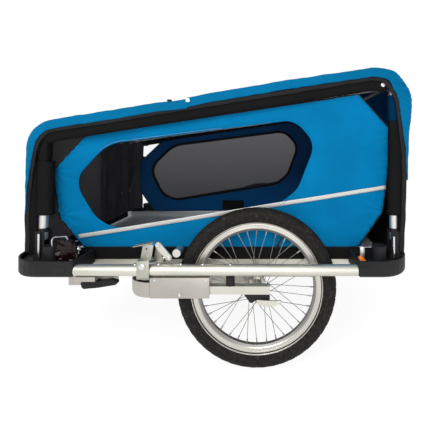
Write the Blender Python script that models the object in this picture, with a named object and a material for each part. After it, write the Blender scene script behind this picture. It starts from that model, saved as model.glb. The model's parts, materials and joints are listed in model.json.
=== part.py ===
"""Dog trailer for a bicycle: a folding fabric cabin on an aluminium base, with two sprung 20 inch wheels.

Metres, +Z up, ground at Z = 0. The front (towing) end is at -X and the left-hand side is at -Y.
"""

import math

import bmesh
import bpy
from mathutils import Matrix, Vector

GAP = 0.0003  # between pieces that touch
SIDES = ((-1, "left"), (1, "right"))
CUT_EXTRA = 0.01  # how far a cutter runs past the piece it cuts

# Base frame
BASE_END_X = 0.623
BASE_HALF_WIDTH = 0.415
CORNER_RADIUS = 0.111
CORNER_Z = (0.310, 0.360)
CORNER_RIM = 0.008
CORNER_WELL_Z = 0.345
CORNER_SKIRT = ((0.310, 0.010), (0.3125, 0.0045), (0.318, 0.0), (0.360, 0.0))  # height and inset
CORNER_BOSS_RADIUS = 0.022
CORNER_BOSS_TOP_Z = 0.392
CORNER_PAD_HALF = (0.018, 0.019)
RAIL_FRONT_X = -0.402
RAIL_REAR_X = 0.4455
OUTER_RAIL_RADIUS = 0.017
OUTER_RAIL_Y = 0.399
OUTER_RAIL_Z = 0.329
RAIL_WALL = 0.002
INNER_RAIL_Y = (0.278, 0.300)
INNER_RAIL_Z = (0.295, 0.325)
INNER_RAIL_END_X = 0.590
CROSSBAR_X = 0.606
CROSSBAR_Z = 0.335
CROSSBAR_RADIUS = 0.012
CROSS_TUBE = (-0.199, 0.272)
CROSS_TUBE_RADIUS = 0.020
CROSS_TUBE_REACH = 0.3835
CROSS_TUBE_WALL = 0.003

# Cabin hoops: base pivots and top pivots in the XZ plane
FRONT_PIVOT = (-0.545, 0.418)
REAR_PIVOT = (0.580, 0.418)
FRONT_TOP = (-0.535, 0.748)
REAR_TOP = (0.576, 0.902)
HOOP_Y = 0.342
HOOP_LEG_RADIUS = 0.013
HOOP_BAR_RADIUS = 0.010
HOOP_WALL = 0.0018
HOOP_VENT_RADIUS = 0.006
LEG_FOOT = 0.013  # how far a leg runs past its foot pivot
LEG_HEAD = 0.011  # and past its top
BRACKET_HALF_X = 0.0145
BRACKET_WALL = 0.003
BRACKET_PLAY = 0.0005
PIN_RADIUS = 0.004
PIN_PLAY = 0.0003
FRONT_RAIL_Y = (0.286, 0.298)
REAR_RAIL_Y = (0.300, 0.312)
TOP_RAIL_HEIGHT = 0.022
TOP_RAIL_JOIN = 0.45  # share of the way from the front hoop to the rear hoop
TOP_RAIL_LAP = 0.032

# Wheels and suspension
AXLE = (0.141, 0.254)
WHEEL_Y = 0.345
TYRE_RADIUS = 0.254
TYRE_HALF_WIDTH = 0.025
RIM_RADIUS = 0.2035
RIM_INNER_RADIUS = 0.1805
RIM_HALF_WIDTH = 0.0125
HUB_Y = (0.3125, 0.3855)
FLANGE_RADIUS = 0.027
FLANGE_OFFSET = 0.027
FLANGE_HALF = 0.0022
HUB_BORE = 0.0066
HUB_END_RADIUS = 0.010
HUB_SHELL_RADIUS = 0.014
SPOKE_CIRCLE = 0.0235
SPOKES_PER_FLANGE = 10
SPOKE_RADIUS = 0.0011
ARM_PIVOT = (-0.085, 0.2725)
ARM_Z = (0.2605, 0.2845)
ARM_REAR_X = 0.183
OUTER_ARM_Y = (0.389, 0.410)
INNER_ARM_Y = (0.3025, 0.3105)
ARM_NOSE = 0.012  # how far an arm runs past its pivot
AXLE_RADIUS = 0.0058
AXLE_Y = (0.3015, 0.4075)
AXLE_BLOCK_Y = (0.3875, 0.4075)
HOUSING_NOSE_X = -0.229
HOUSING_STEP_X = -0.174
HOUSING_REAR_X = 0.003
HOUSING_Y = (0.384, 0.415)
HOUSING_Z = (0.251, 0.3115)
HOUSING_NOSE_Z = 0.302
HOUSING_NOSE_ROUND = 0.030
HOUSING_WALL = 0.003
AXLE_LEVER_PIN = (0.146, 0.4125)
AXLE_LEVER_Z = 0.238
AXLE_LEVER_HALF = 0.0025
AXLE_LEVER_LENGTH = 0.082
ELASTOMER_X = 0.0635
ELASTOMER_RADIUS = 0.0133
ELASTOMER_BORE = 0.004

# Rail clamp and drawbar receiver
TOGGLE_PIN = (-0.127, 0.3616)
TOGGLE_END = (-0.1595, 0.4003)
TOGGLE_RADIUS = 0.009
TOGGLE_Y = (0.3818, 0.3878)
CLAMP_Y = (0.3765, 0.3812)
CLAMP_PLATE = (
    (-0.214, 0.2926), (-0.178, 0.2926), (-0.172, 0.345), (-0.117, 0.350), (-0.117, 0.372),
    (-0.150, 0.372), (-0.190, 0.384), (-0.250, 0.386), (-0.250, 0.379), (-0.214, 0.366),
)
RECEIVER_X = (-0.440, -0.300)
RECEIVER_Y = (-0.377, -0.347)
RECEIVER_Z = (0.273, 0.300)
RECEIVER_WALL = 0.003
DRAWBAR_PIN = (-0.392, 0.2855)
DRAWBAR_LEVER_Y = (-0.390, -0.3785)
DRAWBAR_LEVER_LENGTH = 0.092

# Cabin fabric
CLOTH = 0.004
COVER_HALF_WIDTH = 0.368
COVER_FRONT_X = -0.586
COVER_REAR_X = 0.6265
COVER_HEM_Z = 0.597
COVER_FRONT_Z = 0.777
COVER_SLOPE = 0.1602
COVER_RADII = (0.082, 0.110)
COVER_BAND = 0.030
SLEEVE_Y = 0.3625
SLEEVE_END_Z = 0.486
SLEEVE_WIDTH = 0.055
TUB_END_X = 0.589
TUB_HALF_WIDTH = 0.300
TUB_Z = (0.3255, 0.364)
TUB_WALL = 0.008
PANEL_BOTTOM = (0.2965, 0.3645)
PANEL_LEAN = math.atan(0.0965)
PANEL_OUTLINE = (
    (-0.443, 0.3645), (0.478, 0.3645), (0.553, 0.504), (0.561, 0.755),
    (0.467, 0.869), (-0.413, 0.739), (-0.524, 0.625), (-0.516, 0.491),
)
PANEL_ROUND = 0.012
WINDOW_OUTLINE = (
    (-0.380, 0.430), (0.205, 0.500), (0.272, 0.552), (0.330, 0.715),
    (0.262, 0.791), (-0.350, 0.712), (-0.456, 0.590),
)
WINDOW_ROUND = 0.035


def material(name, colour, roughness, metallic=0.0):
    made = bpy.data.materials.new(name)
    made.use_nodes = True
    made.diffuse_color = (*colour, 1)
    shader = made.node_tree.nodes["Principled BSDF"]
    shader.inputs["Base Color"].default_value = (*colour, 1)
    shader.inputs["Roughness"].default_value = roughness
    shader.inputs["Metallic"].default_value = metallic
    return made


def clear_scene():
    for obj in list(bpy.data.objects):
        bpy.data.objects.remove(obj)


def finish(name, bm, made_of, parent=None):
    """A named object from a bmesh in world coordinates, kept in place under its parent empty."""
    bmesh.ops.recalc_face_normals(bm, faces=bm.faces)
    mesh = bpy.data.meshes.new(name)
    bm.to_mesh(mesh)
    bm.free()
    mesh.shade_smooth()
    mesh.set_sharp_from_angle(angle=math.radians(35))
    obj = bpy.data.objects.new(name, mesh)
    bpy.context.scene.collection.objects.link(obj)
    if made_of:
        mesh.materials.append(made_of)
    if parent:
        obj.parent = parent
        obj.matrix_parent_inverse = Matrix.Translation(-parent.location)
    return obj


def pivot(name, x, y, z, parent=None):
    """An empty on a joint's axis."""
    empty = bpy.data.objects.new(name, None)
    bpy.context.scene.collection.objects.link(empty)
    empty.location = (x, y, z)
    empty.empty_display_size = 0.05
    if parent:
        empty.parent = parent
        empty.matrix_parent_inverse = Matrix.Translation(-parent.location)
    return empty


def helper(obj):
    obj.hide_render = True
    obj.display_type = "WIRE"
    return obj


def boolean(obj, other, operation):
    helper(other)
    modifier = obj.modifiers.new(f"{operation.lower()} {other.name}", "BOOLEAN")
    modifier.object = other
    modifier.operation = operation
    modifier.solver = "EXACT"


def cut(obj, *others):
    for other in others:
        boolean(obj, other, "DIFFERENCE")


def join(obj, *others):
    for other in others:
        boolean(obj, other, "UNION")


def rounded(points, radius, steps=5):
    """The closed outline with each corner made an arc; radius is one number, or one for each point."""
    radii = radius if isinstance(radius, (tuple, list)) else [radius] * len(points)
    outline = []
    for i, corner in enumerate(points):
        here = Vector(corner)
        back = (Vector(points[i - 1]) - here).normalized()
        ahead = (Vector(points[(i + 1) % len(points)]) - here).normalized()
        half = back.angle(ahead) / 2
        if radii[i] <= 0 or abs(half - math.pi / 2) < 1e-4:
            outline.append(here)
            continue
        reach = radii[i] / math.tan(half)
        centre = here + (back + ahead).normalized() * radii[i] / math.sin(half)
        start = here + back * reach - centre
        turn = start.angle_signed(here + ahead * reach - centre)
        for step in range(steps + 1):
            angle = -turn * step / steps
            spoke = Vector((start.x * math.cos(angle) - start.y * math.sin(angle),
                            start.x * math.sin(angle) + start.y * math.cos(angle)))
            outline.append(centre + spoke)
    return [(p.x, p.y) for p in outline]


def extrude(bm, ring, shift):
    """Makes a closed prism from one ring of points and a shift."""
    first = [bm.verts.new(p) for p in ring]
    second = [bm.verts.new(Vector(p) + Vector(shift)) for p in ring]
    bm.faces.new(first)
    bm.faces.new(second[::-1])
    for i in range(len(ring)):
        after = (i + 1) % len(ring)
        bm.faces.new((first[i], second[i], second[after], first[after]))


def side_prism(name, outline, y_span, made_of=None, parent=None):
    """An outline in the XZ plane, extruded along Y."""
    bm = bmesh.new()
    extrude(bm, [(x, y_span[0], z) for x, z in outline], (0, y_span[1] - y_span[0], 0))
    return finish(name, bm, made_of, parent)


def plan_prism(name, outline, z_span, made_of=None, parent=None):
    """An outline in the XY plane, extruded along Z."""
    bm = bmesh.new()
    extrude(bm, [(x, y, z_span[0]) for x, y in outline], (0, 0, z_span[1] - z_span[0]))
    return finish(name, bm, made_of, parent)


def loft(name, rings, made_of):
    """A solid through rings that all have the same number of points."""
    bm = bmesh.new()
    made = [[bm.verts.new(p) for p in ring] for ring in rings]
    bm.faces.new(made[0])
    bm.faces.new(made[-1])
    for here, ahead in zip(made, made[1:]):
        for i in range(len(here)):
            j = (i + 1) % len(here)
            bm.faces.new((here[i], here[j], ahead[j], ahead[i]))
    return finish(name, bm, made_of)


def box(name, x_span, y_span, z_span, made_of=None, parent=None, bevel=0.0):
    bm = bmesh.new()
    bmesh.ops.create_cube(bm, size=1)
    spans = [sorted(span) for span in (x_span, y_span, z_span)]
    sizes = [high - low for low, high in spans]
    middle = [(high + low) / 2 for low, high in spans]
    bmesh.ops.scale(bm, vec=sizes, verts=bm.verts)
    bmesh.ops.translate(bm, vec=middle, verts=bm.verts)
    if bevel:
        bmesh.ops.bevel(bm, geom=bm.edges[:], offset=bevel, segments=2, affect="EDGES", profile=0.5)
    return finish(name, bm, made_of, parent)


def rod(name, start, end, radius, made_of=None, parent=None, segments=20, bore=0.0):
    """A round bar between two points, or a pipe when it has a bore."""
    start, end = Vector(start), Vector(end)
    turn = (end - start).to_track_quat("Z", "Y").to_matrix().to_4x4()
    bm = bmesh.new()
    rings = []
    for r in (radius, bore) if bore else (radius,):
        for centre in (start, end):
            circle = bmesh.ops.create_circle(
                bm, segments=segments, radius=r, matrix=Matrix.Translation(centre) @ turn)
            rings.append(circle["verts"])
    pairs = [(0, 1), (1, 3), (3, 2), (2, 0)] if bore else [(0, 1)]
    for a, b in pairs:
        for i in range(segments):
            j = (i + 1) % segments
            bm.faces.new((rings[a][i], rings[a][j], rings[b][j], rings[b][i]))
    if not bore:
        bm.faces.new(rings[0])
        bm.faces.new(rings[1])
    return finish(name, bm, made_of, parent)


def across(name, centre, y_span, radius, made_of=None, parent=None, segments=16):
    """A round bar along Y through a point of the XZ plane."""
    x, z = centre
    return rod(name, (x, y_span[0], z), (x, y_span[1], z), radius, made_of, parent, segments)


def mirrored(span, side):
    """A span of distances from the middle plane, on one side of it."""
    return tuple(sorted((side * span[0], side * span[1])))


def spun(name, profile, centre, made_of, parent, segments=56):
    """A ring turned about the Y axis from a closed profile of (radius, offset) points."""
    x, y, z = centre
    bm = bmesh.new()
    rings = []
    for step in range(segments):
        angle = 2 * math.pi * step / segments
        rings.append([
            bm.verts.new((x + r * math.cos(angle), y + offset, z + r * math.sin(angle)))
            for r, offset in profile
        ])
    count = len(profile)
    for step in range(segments):
        here, ahead = rings[step], rings[(step + 1) % segments]
        for i in range(count):
            j = (i + 1) % count
            bm.faces.new((here[i], here[j], ahead[j], ahead[i]))
    return finish(name, bm, made_of, parent)


def capsule(a, b, radius, steps=6):
    """The outline of a link with round ends at a and b."""
    a, b = Vector(a), Vector(b)
    heading = math.atan2(b.y - a.y, b.x - a.x)
    outline = []
    for centre, start in ((b, heading - math.pi / 2), (a, heading + math.pi / 2)):
        for step in range(steps + 1):
            angle = start + math.pi * step / steps
            outline.append((centre.x + radius * math.cos(angle), centre.y + radius * math.sin(angle)))
    return outline


# Base frame


def corner_outline(end, side, inset=0.0):
    """Plan of a corner piece, end -1 at the front and 1 at the rear, drawn in by inset."""
    inner_x = RAIL_FRONT_X if end < 0 else RAIL_REAR_X
    far_x = end * (BASE_END_X - inset)
    near_x = inner_x + end * inset
    outer_y = side * (BASE_HALF_WIDTH - inset)
    inner_y = side * (BASE_HALF_WIDTH - CORNER_RADIUS - GAP + inset)
    points = ((near_x, outer_y), (far_x, outer_y), (far_x, inner_y), (near_x, inner_y))
    return rounded(points, (0.004, CORNER_RADIUS - 2 * inset - 2 * GAP, 0, 0), steps=8)


def corner(end, side, name, made_of):
    """A moulded tray with a rounded skirt, a pad for the hoop bracket and a round boss."""
    rings = [[(px, py, z) for px, py in corner_outline(end, side, inset)] for z, inset in CORNER_SKIRT]
    piece = loft(name, rings, made_of)
    well_z = (CORNER_WELL_Z, CORNER_Z[1] + CUT_EXTRA)
    well = plan_prism(f"{name}_well", corner_outline(end, side, CORNER_RIM), well_z)
    x, _ = FRONT_PIVOT if end < 0 else REAR_PIVOT
    y = side * HOOP_Y
    half_x, half_y = CORNER_PAD_HALF
    inside_z = CORNER_WELL_Z - CORNER_RIM
    pad = box(f"{name}_pad", (x - half_x, x + half_x), (y - half_y, y + half_y), (inside_z, CORNER_Z[1]))
    boss_x = x + 0.040 if end < 0 else x - 0.054
    boss_y = side * 0.360
    foot, head = (boss_x, boss_y, inside_z), (boss_x, boss_y, CORNER_BOSS_TOP_Z)
    boss = rod(f"{name}_boss", foot, head, CORNER_BOSS_RADIUS, segments=24)
    cut(piece, well)
    join(piece, pad, boss)
    return piece


def base_frame(metal, plastic, bright):
    for end, at in ((-1, "front"), (1, "rear")):
        for side, hand in SIDES:
            corner(end, side, f"corner_{at}_{hand}", plastic)
        reach = BASE_HALF_WIDTH - CORNER_RADIUS - 2 * GAP
        ends = ((end * CROSSBAR_X, -reach, CROSSBAR_Z), (end * CROSSBAR_X, reach, CROSSBAR_Z))
        rod(f"{at}_crossbar", *ends, CROSSBAR_RADIUS, metal, bore=CROSSBAR_RADIUS - RAIL_WALL)
    for side, hand in SIDES:
        y = side * OUTER_RAIL_Y
        start = (RAIL_FRONT_X + GAP, y, OUTER_RAIL_Z)
        end = (RAIL_REAR_X - GAP, y, OUTER_RAIL_Z)
        bore = OUTER_RAIL_RADIUS - RAIL_WALL
        rod(f"outer_rail_{hand}", start, end, OUTER_RAIL_RADIUS, bright, segments=28, bore=bore)
        inner_rail(side, hand, bright)
    cross_tube(metal)


def inner_rail(side, hand, made_of):
    """A rectangular tube, open at both ends."""
    low, high = INNER_RAIL_Y
    bottom, top = INNER_RAIL_Z
    reach = INNER_RAIL_END_X
    rail = box(f"inner_rail_{hand}", (-reach, reach), mirrored(INNER_RAIL_Y, side), INNER_RAIL_Z, made_of)
    bore_x = (-reach - CUT_EXTRA, reach + CUT_EXTRA)
    bore_y = mirrored((low + RAIL_WALL, high - RAIL_WALL), side)
    cut(rail, box(f"inner_rail_bore_{hand}", bore_x, bore_y, (bottom + RAIL_WALL, top - RAIL_WALL)))


def cross_tube(made_of):
    """The tube across the base in front of the wheels, with a lug for each inner swing arm."""
    reach = CROSS_TUBE_REACH
    tube = across("cross_tube", CROSS_TUBE, (-reach, reach), CROSS_TUBE_RADIUS, made_of, segments=28)
    bore_y = (-reach - CUT_EXTRA, reach + CUT_EXTRA)
    bore_radius = CROSS_TUBE_RADIUS - CROSS_TUBE_WALL
    cut(tube, across("cross_tube_bore", CROSS_TUBE, bore_y, bore_radius, segments=28))
    lug_start = (CROSS_TUBE[0] + CROSS_TUBE_RADIUS - 0.001, ARM_PIVOT[1])
    for side, hand in SIDES:
        lug_outline = capsule(lug_start, ARM_PIVOT, 0.011)
        lug = side_prism(f"inner_lug_{hand}", lug_outline, mirrored((0.286, 0.2995), side))
        pin = across(f"inner_pin_{hand}", ARM_PIVOT, mirrored((0.295, 0.3115), side), PIN_RADIUS)
        join(tube, lug, pin)


def hoop_bracket(end, side, name, made_of):
    """A forked bracket with the pin that a hoop leg turns on."""
    x, z = FRONT_PIVOT if end < 0 else REAR_PIVOT
    y = side * HOOP_Y
    slot_half = HOOP_LEG_RADIUS + BRACKET_PLAY
    half = slot_half + BRACKET_WALL
    half_x = BRACKET_HALF_X
    body = box(name, (x - half_x, x + half_x), (y - half, y + half), (CORNER_Z[1] + GAP, z + 0.016), made_of)
    slot_x = (x - half_x - CUT_EXTRA, x + half_x + CUT_EXTRA)
    slot = box(f"{name}_slot", slot_x, (y - slot_half, y + slot_half), (z - 0.052, z + 0.05))
    cut(body, slot)
    join(body, across(f"{name}_pin", (x, z), (y - half - 0.002, y + half + 0.002), PIN_RADIUS))


# Cabin frame


def hoop(name, foot, top, made_of, parent):
    """Two legs and a bar across their tops, hollow, with pin holes at the feet."""
    fx, fz = foot
    tx, tz = top
    up = (Vector((tx, 0, tz)) - Vector((fx, 0, fz))).normalized()
    bar_reach = HOOP_Y - 0.002
    bar = across(name, top, (-bar_reach, bar_reach), HOOP_BAR_RADIUS, made_of, parent, segments=20)
    for side, hand in SIDES:
        y = side * HOOP_Y
        low = Vector((fx, y, fz)) - up * LEG_FOOT
        high = Vector((tx, y, tz)) + up * LEG_HEAD
        join(bar, rod(f"{name}_leg_{hand}", low, high, HOOP_LEG_RADIUS, segments=24))
    for side, hand in SIDES:
        y = side * HOOP_Y
        low = Vector((fx, y, fz)) + up * 0.018
        high = Vector((tx, y, tz)) - up * 0.012
        bore = rod(f"{name}_bore_{hand}", low, high, HOOP_LEG_RADIUS - HOOP_WALL, segments=16)
        vent = rod(f"{name}_vent_{hand}", low - up * 0.05, low + up * 0.01, HOOP_VENT_RADIUS, segments=12)
        reach = HOOP_LEG_RADIUS + CUT_EXTRA
        hole = across(f"{name}_hole_{hand}", foot, (y - reach, y + reach), PIN_RADIUS + PIN_PLAY)
        cut(bar, bore, vent, hole)


def top_rail(name, pivot_at, free_at, y_span, made_of, parent):
    """A flat rail with an eye round the hoop's bar at one end."""
    start, end = Vector(pivot_at), Vector(free_at)
    along = (end - start).normalized()
    rail = side_prism(name, capsule(start + along * 0.004, end, TOP_RAIL_HEIGHT / 2), y_span, made_of, parent)
    join(rail, across(f"{name}_eye", pivot_at, y_span, HOOP_BAR_RADIUS + 0.0055, segments=20))
    reach = (y_span[0] - CUT_EXTRA, y_span[1] + CUT_EXTRA)
    cut(rail, across(f"{name}_hole", pivot_at, reach, HOOP_BAR_RADIUS + PIN_PLAY, segments=20))


def cabin_frame(metal):
    front = pivot("front_hoop_pivot", FRONT_PIVOT[0], 0, FRONT_PIVOT[1])
    rear = pivot("rear_hoop_pivot", REAR_PIVOT[0], 0, REAR_PIVOT[1])
    hoop("front_hoop", FRONT_PIVOT, FRONT_TOP, metal, front)
    hoop("rear_hoop", REAR_PIVOT, REAR_TOP, metal, rear)
    front_top = pivot("front_top_rail_pivot", FRONT_TOP[0], 0, FRONT_TOP[1], front)
    rear_top = pivot("rear_top_rail_pivot", REAR_TOP[0], 0, REAR_TOP[1], rear)
    span = Vector(REAR_TOP) - Vector(FRONT_TOP)
    lap = span.normalized() * TOP_RAIL_LAP
    meet = Vector(FRONT_TOP) + span * TOP_RAIL_JOIN
    for side, hand in SIDES:
        front_y = mirrored(FRONT_RAIL_Y, side)
        top_rail(f"top_rail_front_{hand}", FRONT_TOP, meet + lap, front_y, metal, front_top)
        top_rail(f"top_rail_rear_{hand}", REAR_TOP, meet - lap, mirrored(REAR_RAIL_Y, side), metal, rear_top)


# Wheels and suspension


def wheel(side, hand, rubber, metal, parent):
    x, z = AXLE
    centre = (x, side * WHEEL_Y, z)
    spin = pivot(f"wheel_{hand}_axis", *centre, parent)
    middle = (TYRE_RADIUS + RIM_RADIUS + GAP) / 2
    half = (TYRE_RADIUS - RIM_RADIUS - GAP) / 2
    section = []
    for step in range(12):
        angle = 2 * math.pi * step / 12
        squareness = 0.9 + 0.1 * abs(math.sin(2 * angle))
        sideways = TYRE_HALF_WIDTH * squareness / 0.9 * math.sin(angle)
        section.append((middle + half * math.cos(angle), sideways))
    tyre_half = max(offset for _, offset in section)
    section = [(r, offset * TYRE_HALF_WIDTH / tyre_half) for r, offset in section]
    spun(f"tyre_{hand}", section, centre, rubber, spin)
    w = RIM_HALF_WIDTH
    rim = ((RIM_RADIUS, -w), (RIM_RADIUS, w), (RIM_RADIUS - 0.014, w),
           (RIM_INNER_RADIUS, 0.45 * w), (RIM_INNER_RADIUS, -0.45 * w), (RIM_RADIUS - 0.014, -w))
    spun(f"rim_{hand}", rim, centre, metal, spin)
    hub(side, hand, centre, metal, spin)


def hub(side, hand, centre, made_of, parent):
    """Hub shell with two flanges and the laced spokes."""
    x, y, z = centre
    inner, outer = (distance - y for distance in mirrored(HUB_Y, side))
    f = FLANGE_OFFSET
    half = FLANGE_HALF
    taper = f - 0.006
    shell = [
        (HUB_BORE, inner), (HUB_BORE, outer), (HUB_END_RADIUS, outer), (HUB_END_RADIUS, f + half),
        (FLANGE_RADIUS, f + half), (FLANGE_RADIUS, f - half), (HUB_SHELL_RADIUS, taper),
        (HUB_SHELL_RADIUS, -taper), (FLANGE_RADIUS, half - f), (FLANGE_RADIUS, -half - f),
        (HUB_END_RADIUS, -half - f), (HUB_END_RADIUS, inner),
    ]
    piece = spun(f"hub_and_spokes_{hand}", shell, centre, made_of, parent, segments=24)
    bm = bmesh.new()
    rim_end = RIM_INNER_RADIUS - 0.0008
    for flange in (-1, 1):
        for i in range(SPOKES_PER_FLANGE):
            lean = 1 if i % 2 else -1
            root_angle = 2 * math.pi * (i + (0.25 if flange > 0 else 0)) / SPOKES_PER_FLANGE
            tip_angle = root_angle + lean * math.radians(38)
            root_y = flange * (f + lean * 0.0015)
            root = Vector((SPOKE_CIRCLE * math.cos(root_angle), root_y, SPOKE_CIRCLE * math.sin(root_angle)))
            tip = Vector((rim_end * math.cos(tip_angle), flange * 0.0035, rim_end * math.sin(tip_angle)))
            turn = (tip - root).to_track_quat("Z", "Y").to_matrix().to_4x4()
            place = Matrix.Translation(Vector(centre) + (root + tip) / 2) @ turn
            bmesh.ops.create_cone(
                bm, cap_ends=True, segments=5, radius1=SPOKE_RADIUS, radius2=SPOKE_RADIUS,
                depth=(tip - root).length, matrix=place)
    join(piece, finish(f"spokes_{hand}", bm, None))


def swing_arm(side, hand, metal, bright, rubber, plastic):
    px, pz = ARM_PIVOT
    ax, az = AXLE
    swing = pivot(f"swing_arm_{hand}_axis", px, side * WHEEL_Y, pz)
    bottom, top = ARM_Z
    front = px - ARM_NOSE
    bar = ((front, bottom), (ARM_REAR_X, bottom), (ARM_REAR_X, top), (front, top))
    arm = side_prism(f"swing_arm_outer_{hand}", rounded(bar, (0.01, 0.002, 0.002, 0.01), 3),
                     mirrored(OUTER_ARM_Y, side), bright, swing)
    hole_y = mirrored((0.29, 0.42), side)
    cut(arm, across(f"outer_arm_hole_{hand}", ARM_PIVOT, hole_y, PIN_RADIUS + PIN_PLAY))
    inner_end = ax + ARM_NOSE
    inner_bar = ((front, bottom), (inner_end, bottom), (inner_end, top), (front, top))
    inner = side_prism(f"swing_arm_inner_{hand}", rounded(inner_bar, 0.008, 3),
                       mirrored(INNER_ARM_Y, side), metal, swing)
    join(inner, across(f"inner_arm_eye_{hand}", AXLE, mirrored(INNER_ARM_Y, side), 0.014, segments=20))
    cut(inner, across(f"inner_arm_hole_{hand}", ARM_PIVOT, hole_y, PIN_RADIUS + PIN_PLAY))
    cut(inner, across(f"inner_axle_hole_{hand}", AXLE, hole_y, AXLE_RADIUS + 0.0005))
    axle = across(f"axle_{hand}", AXLE, mirrored(AXLE_Y, side), AXLE_RADIUS, metal, swing)
    block = ((0.103, 0.2505), (0.128, 0.2315), (0.176, 0.2375), (ARM_REAR_X, bottom - GAP),
             (0.103, bottom - GAP))
    join(axle, side_prism(f"axle_block_{hand}", block, mirrored(AXLE_BLOCK_Y, side)))
    lever(side, hand, metal, swing)
    wheel(side, hand, rubber, metal, swing)
    across_z = (top + GAP, OUTER_RAIL_Z - OUTER_RAIL_RADIUS - GAP)
    y = side * OUTER_RAIL_Y
    rod(f"elastomer_{hand}", (ELASTOMER_X, y, across_z[0]), (ELASTOMER_X, y, across_z[1]),
        ELASTOMER_RADIUS, plastic, segments=20, bore=ELASTOMER_BORE)
    housing(side, hand, bright)


def lever(side, hand, made_of, parent):
    """The curved lever that clamps the axle: it swings outwards about an upright pin."""
    pin_x, pin_y = AXLE_LEVER_PIN
    turn = pivot(f"axle_lever_{hand}_axis", pin_x, side * pin_y, AXLE_LEVER_Z, parent)
    upper, lower = [], []
    for step in range(7):
        t = step / 6
        x = pin_x - AXLE_LEVER_HALF + AXLE_LEVER_LENGTH * t
        z = AXLE_LEVER_Z + 0.0045 - 0.012 * math.sin(math.pi * 0.8 * t)
        upper.append((x, z))
        lower.append((x, z - 0.0105 + 0.004 * t))
    y_span = mirrored((pin_y - AXLE_LEVER_HALF, pin_y + AXLE_LEVER_HALF), side)
    side_prism(f"axle_lever_{hand}", lower + upper[::-1], y_span, made_of, turn)


def housing_outline(inset, rear_x, bottom_z):
    """A box with a rounded nose and a step at the top where the rail clamp sits."""
    nose_x = HOUSING_NOSE_X + inset
    step_x = HOUSING_STEP_X + inset
    top_z = HOUSING_Z[1] - inset
    nose_z = HOUSING_NOSE_Z - inset
    round_nose = [(nose_x, nose_z)]
    centre_x, centre_z = HOUSING_NOSE_X + HOUSING_NOSE_ROUND, HOUSING_Z[0] + HOUSING_NOSE_ROUND
    radius = HOUSING_NOSE_ROUND - inset
    for step in range(9):
        angle = math.pi + math.pi / 2 * step / 8
        round_nose.append((centre_x + radius * math.cos(angle), centre_z + radius * math.sin(angle)))
    if bottom_z < HOUSING_Z[0]:
        round_nose.append((round_nose[-1][0], bottom_z))
    return round_nose + [(rear_x, bottom_z), (rear_x, top_z), (step_x, top_z), (step_x, nose_z)]


def housing(side, hand, made_of):
    """The pressed box under the outer rail that the swing arm turns in."""
    low, high = HOUSING_Y
    outside = housing_outline(0, HOUSING_REAR_X, HOUSING_Z[0])
    inside = housing_outline(HOUSING_WALL, HOUSING_REAR_X + CUT_EXTRA, HOUSING_Z[0] - CUT_EXTRA)
    shell = side_prism(f"swing_housing_{hand}", outside, mirrored(HOUSING_Y, side), made_of)
    hollow_y = mirrored((low + HOUSING_WALL, high - HOUSING_WALL), side)
    cut(shell, side_prism(f"housing_hollow_{hand}", inside, hollow_y))
    join(shell, across(f"housing_bolt_{hand}", ARM_PIVOT, mirrored((low, high + 0.003), side), PIN_RADIUS))


def rail_clamp(side, hand, metal, bright):
    """The plate that ties the outer rail to the cross tube, and the toggle link on it."""
    plate = side_prism(f"rail_clamp_{hand}", CLAMP_PLATE, mirrored(CLAMP_Y, side), metal)
    top_z = OUTER_RAIL_Z + OUTER_RAIL_RADIUS + GAP
    hook_y = mirrored((0.3775, 0.412), side)
    hook = box(f"clamp_hook_{hand}", (-0.214, -0.174), hook_y, (top_z, top_z + 0.0035))
    pin = across(f"toggle_pin_{hand}", TOGGLE_PIN, mirrored((0.379, 0.3895), side), PIN_RADIUS)
    join(plate, hook, pin)
    turn = pivot(f"toggle_{hand}_axis", TOGGLE_PIN[0], side * sum(TOGGLE_Y) / 2, TOGGLE_PIN[1])
    outline = capsule(TOGGLE_PIN, TOGGLE_END, TOGGLE_RADIUS)
    link = side_prism(f"toggle_link_{hand}", outline, mirrored(TOGGLE_Y, side), bright, turn)
    hole_y = mirrored((TOGGLE_Y[0] - CUT_EXTRA, TOGGLE_Y[1] + CUT_EXTRA), side)
    cut(link, across(f"toggle_hole_{hand}", TOGGLE_PIN, hole_y, PIN_RADIUS + PIN_PLAY))


def drawbar_receiver(metal, plastic):
    """The square socket for the towing arm, on the left only, and its clamping lever."""
    wall = RECEIVER_WALL
    near_y, far_y = RECEIVER_Y
    low_z, high_z = RECEIVER_Z
    socket = box("drawbar_receiver", RECEIVER_X, RECEIVER_Y, RECEIVER_Z, metal)
    bore_x = (RECEIVER_X[0] - CUT_EXTRA, RECEIVER_X[1] - 2 * wall)
    cut(socket, box("receiver_bore", bore_x, (near_y + wall, far_y - wall), (low_z + wall, high_z - wall)))
    flange_z = (high_z - 0.002, OUTER_RAIL_Z - OUTER_RAIL_RADIUS - GAP)
    flange = box("receiver_flange", (-0.400, -0.340), (-0.409, far_y - wall), flange_z)
    join(socket, flange, across("receiver_pin", DRAWBAR_PIN, (near_y + 0.002, -0.3925), PIN_RADIUS))
    pin_x, pin_z = DRAWBAR_PIN
    turn = pivot("drawbar_lever_axis", pin_x, sum(DRAWBAR_LEVER_Y) / 2, pin_z)
    upper, lower = [], []
    for step in range(9):
        t = step / 8
        x = pin_x + DRAWBAR_LEVER_LENGTH * t
        z = pin_z - 0.014 * (1 - math.cos(math.pi * t)) / 2 - 0.004 * t
        half = 0.0075 - 0.003 * t
        upper.append((x, z + half))
        lower.append((x, z - half))
    heel = [(pin_x - 0.008, pin_z + 0.003), (pin_x - 0.008, pin_z - 0.003)]
    made = side_prism("drawbar_lever", lower + upper[::-1] + heel, DRAWBAR_LEVER_Y, plastic, turn)
    cut(made, across("drawbar_lever_hole", DRAWBAR_PIN, (-0.41, -0.36), PIN_RADIUS + PIN_PLAY))


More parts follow.
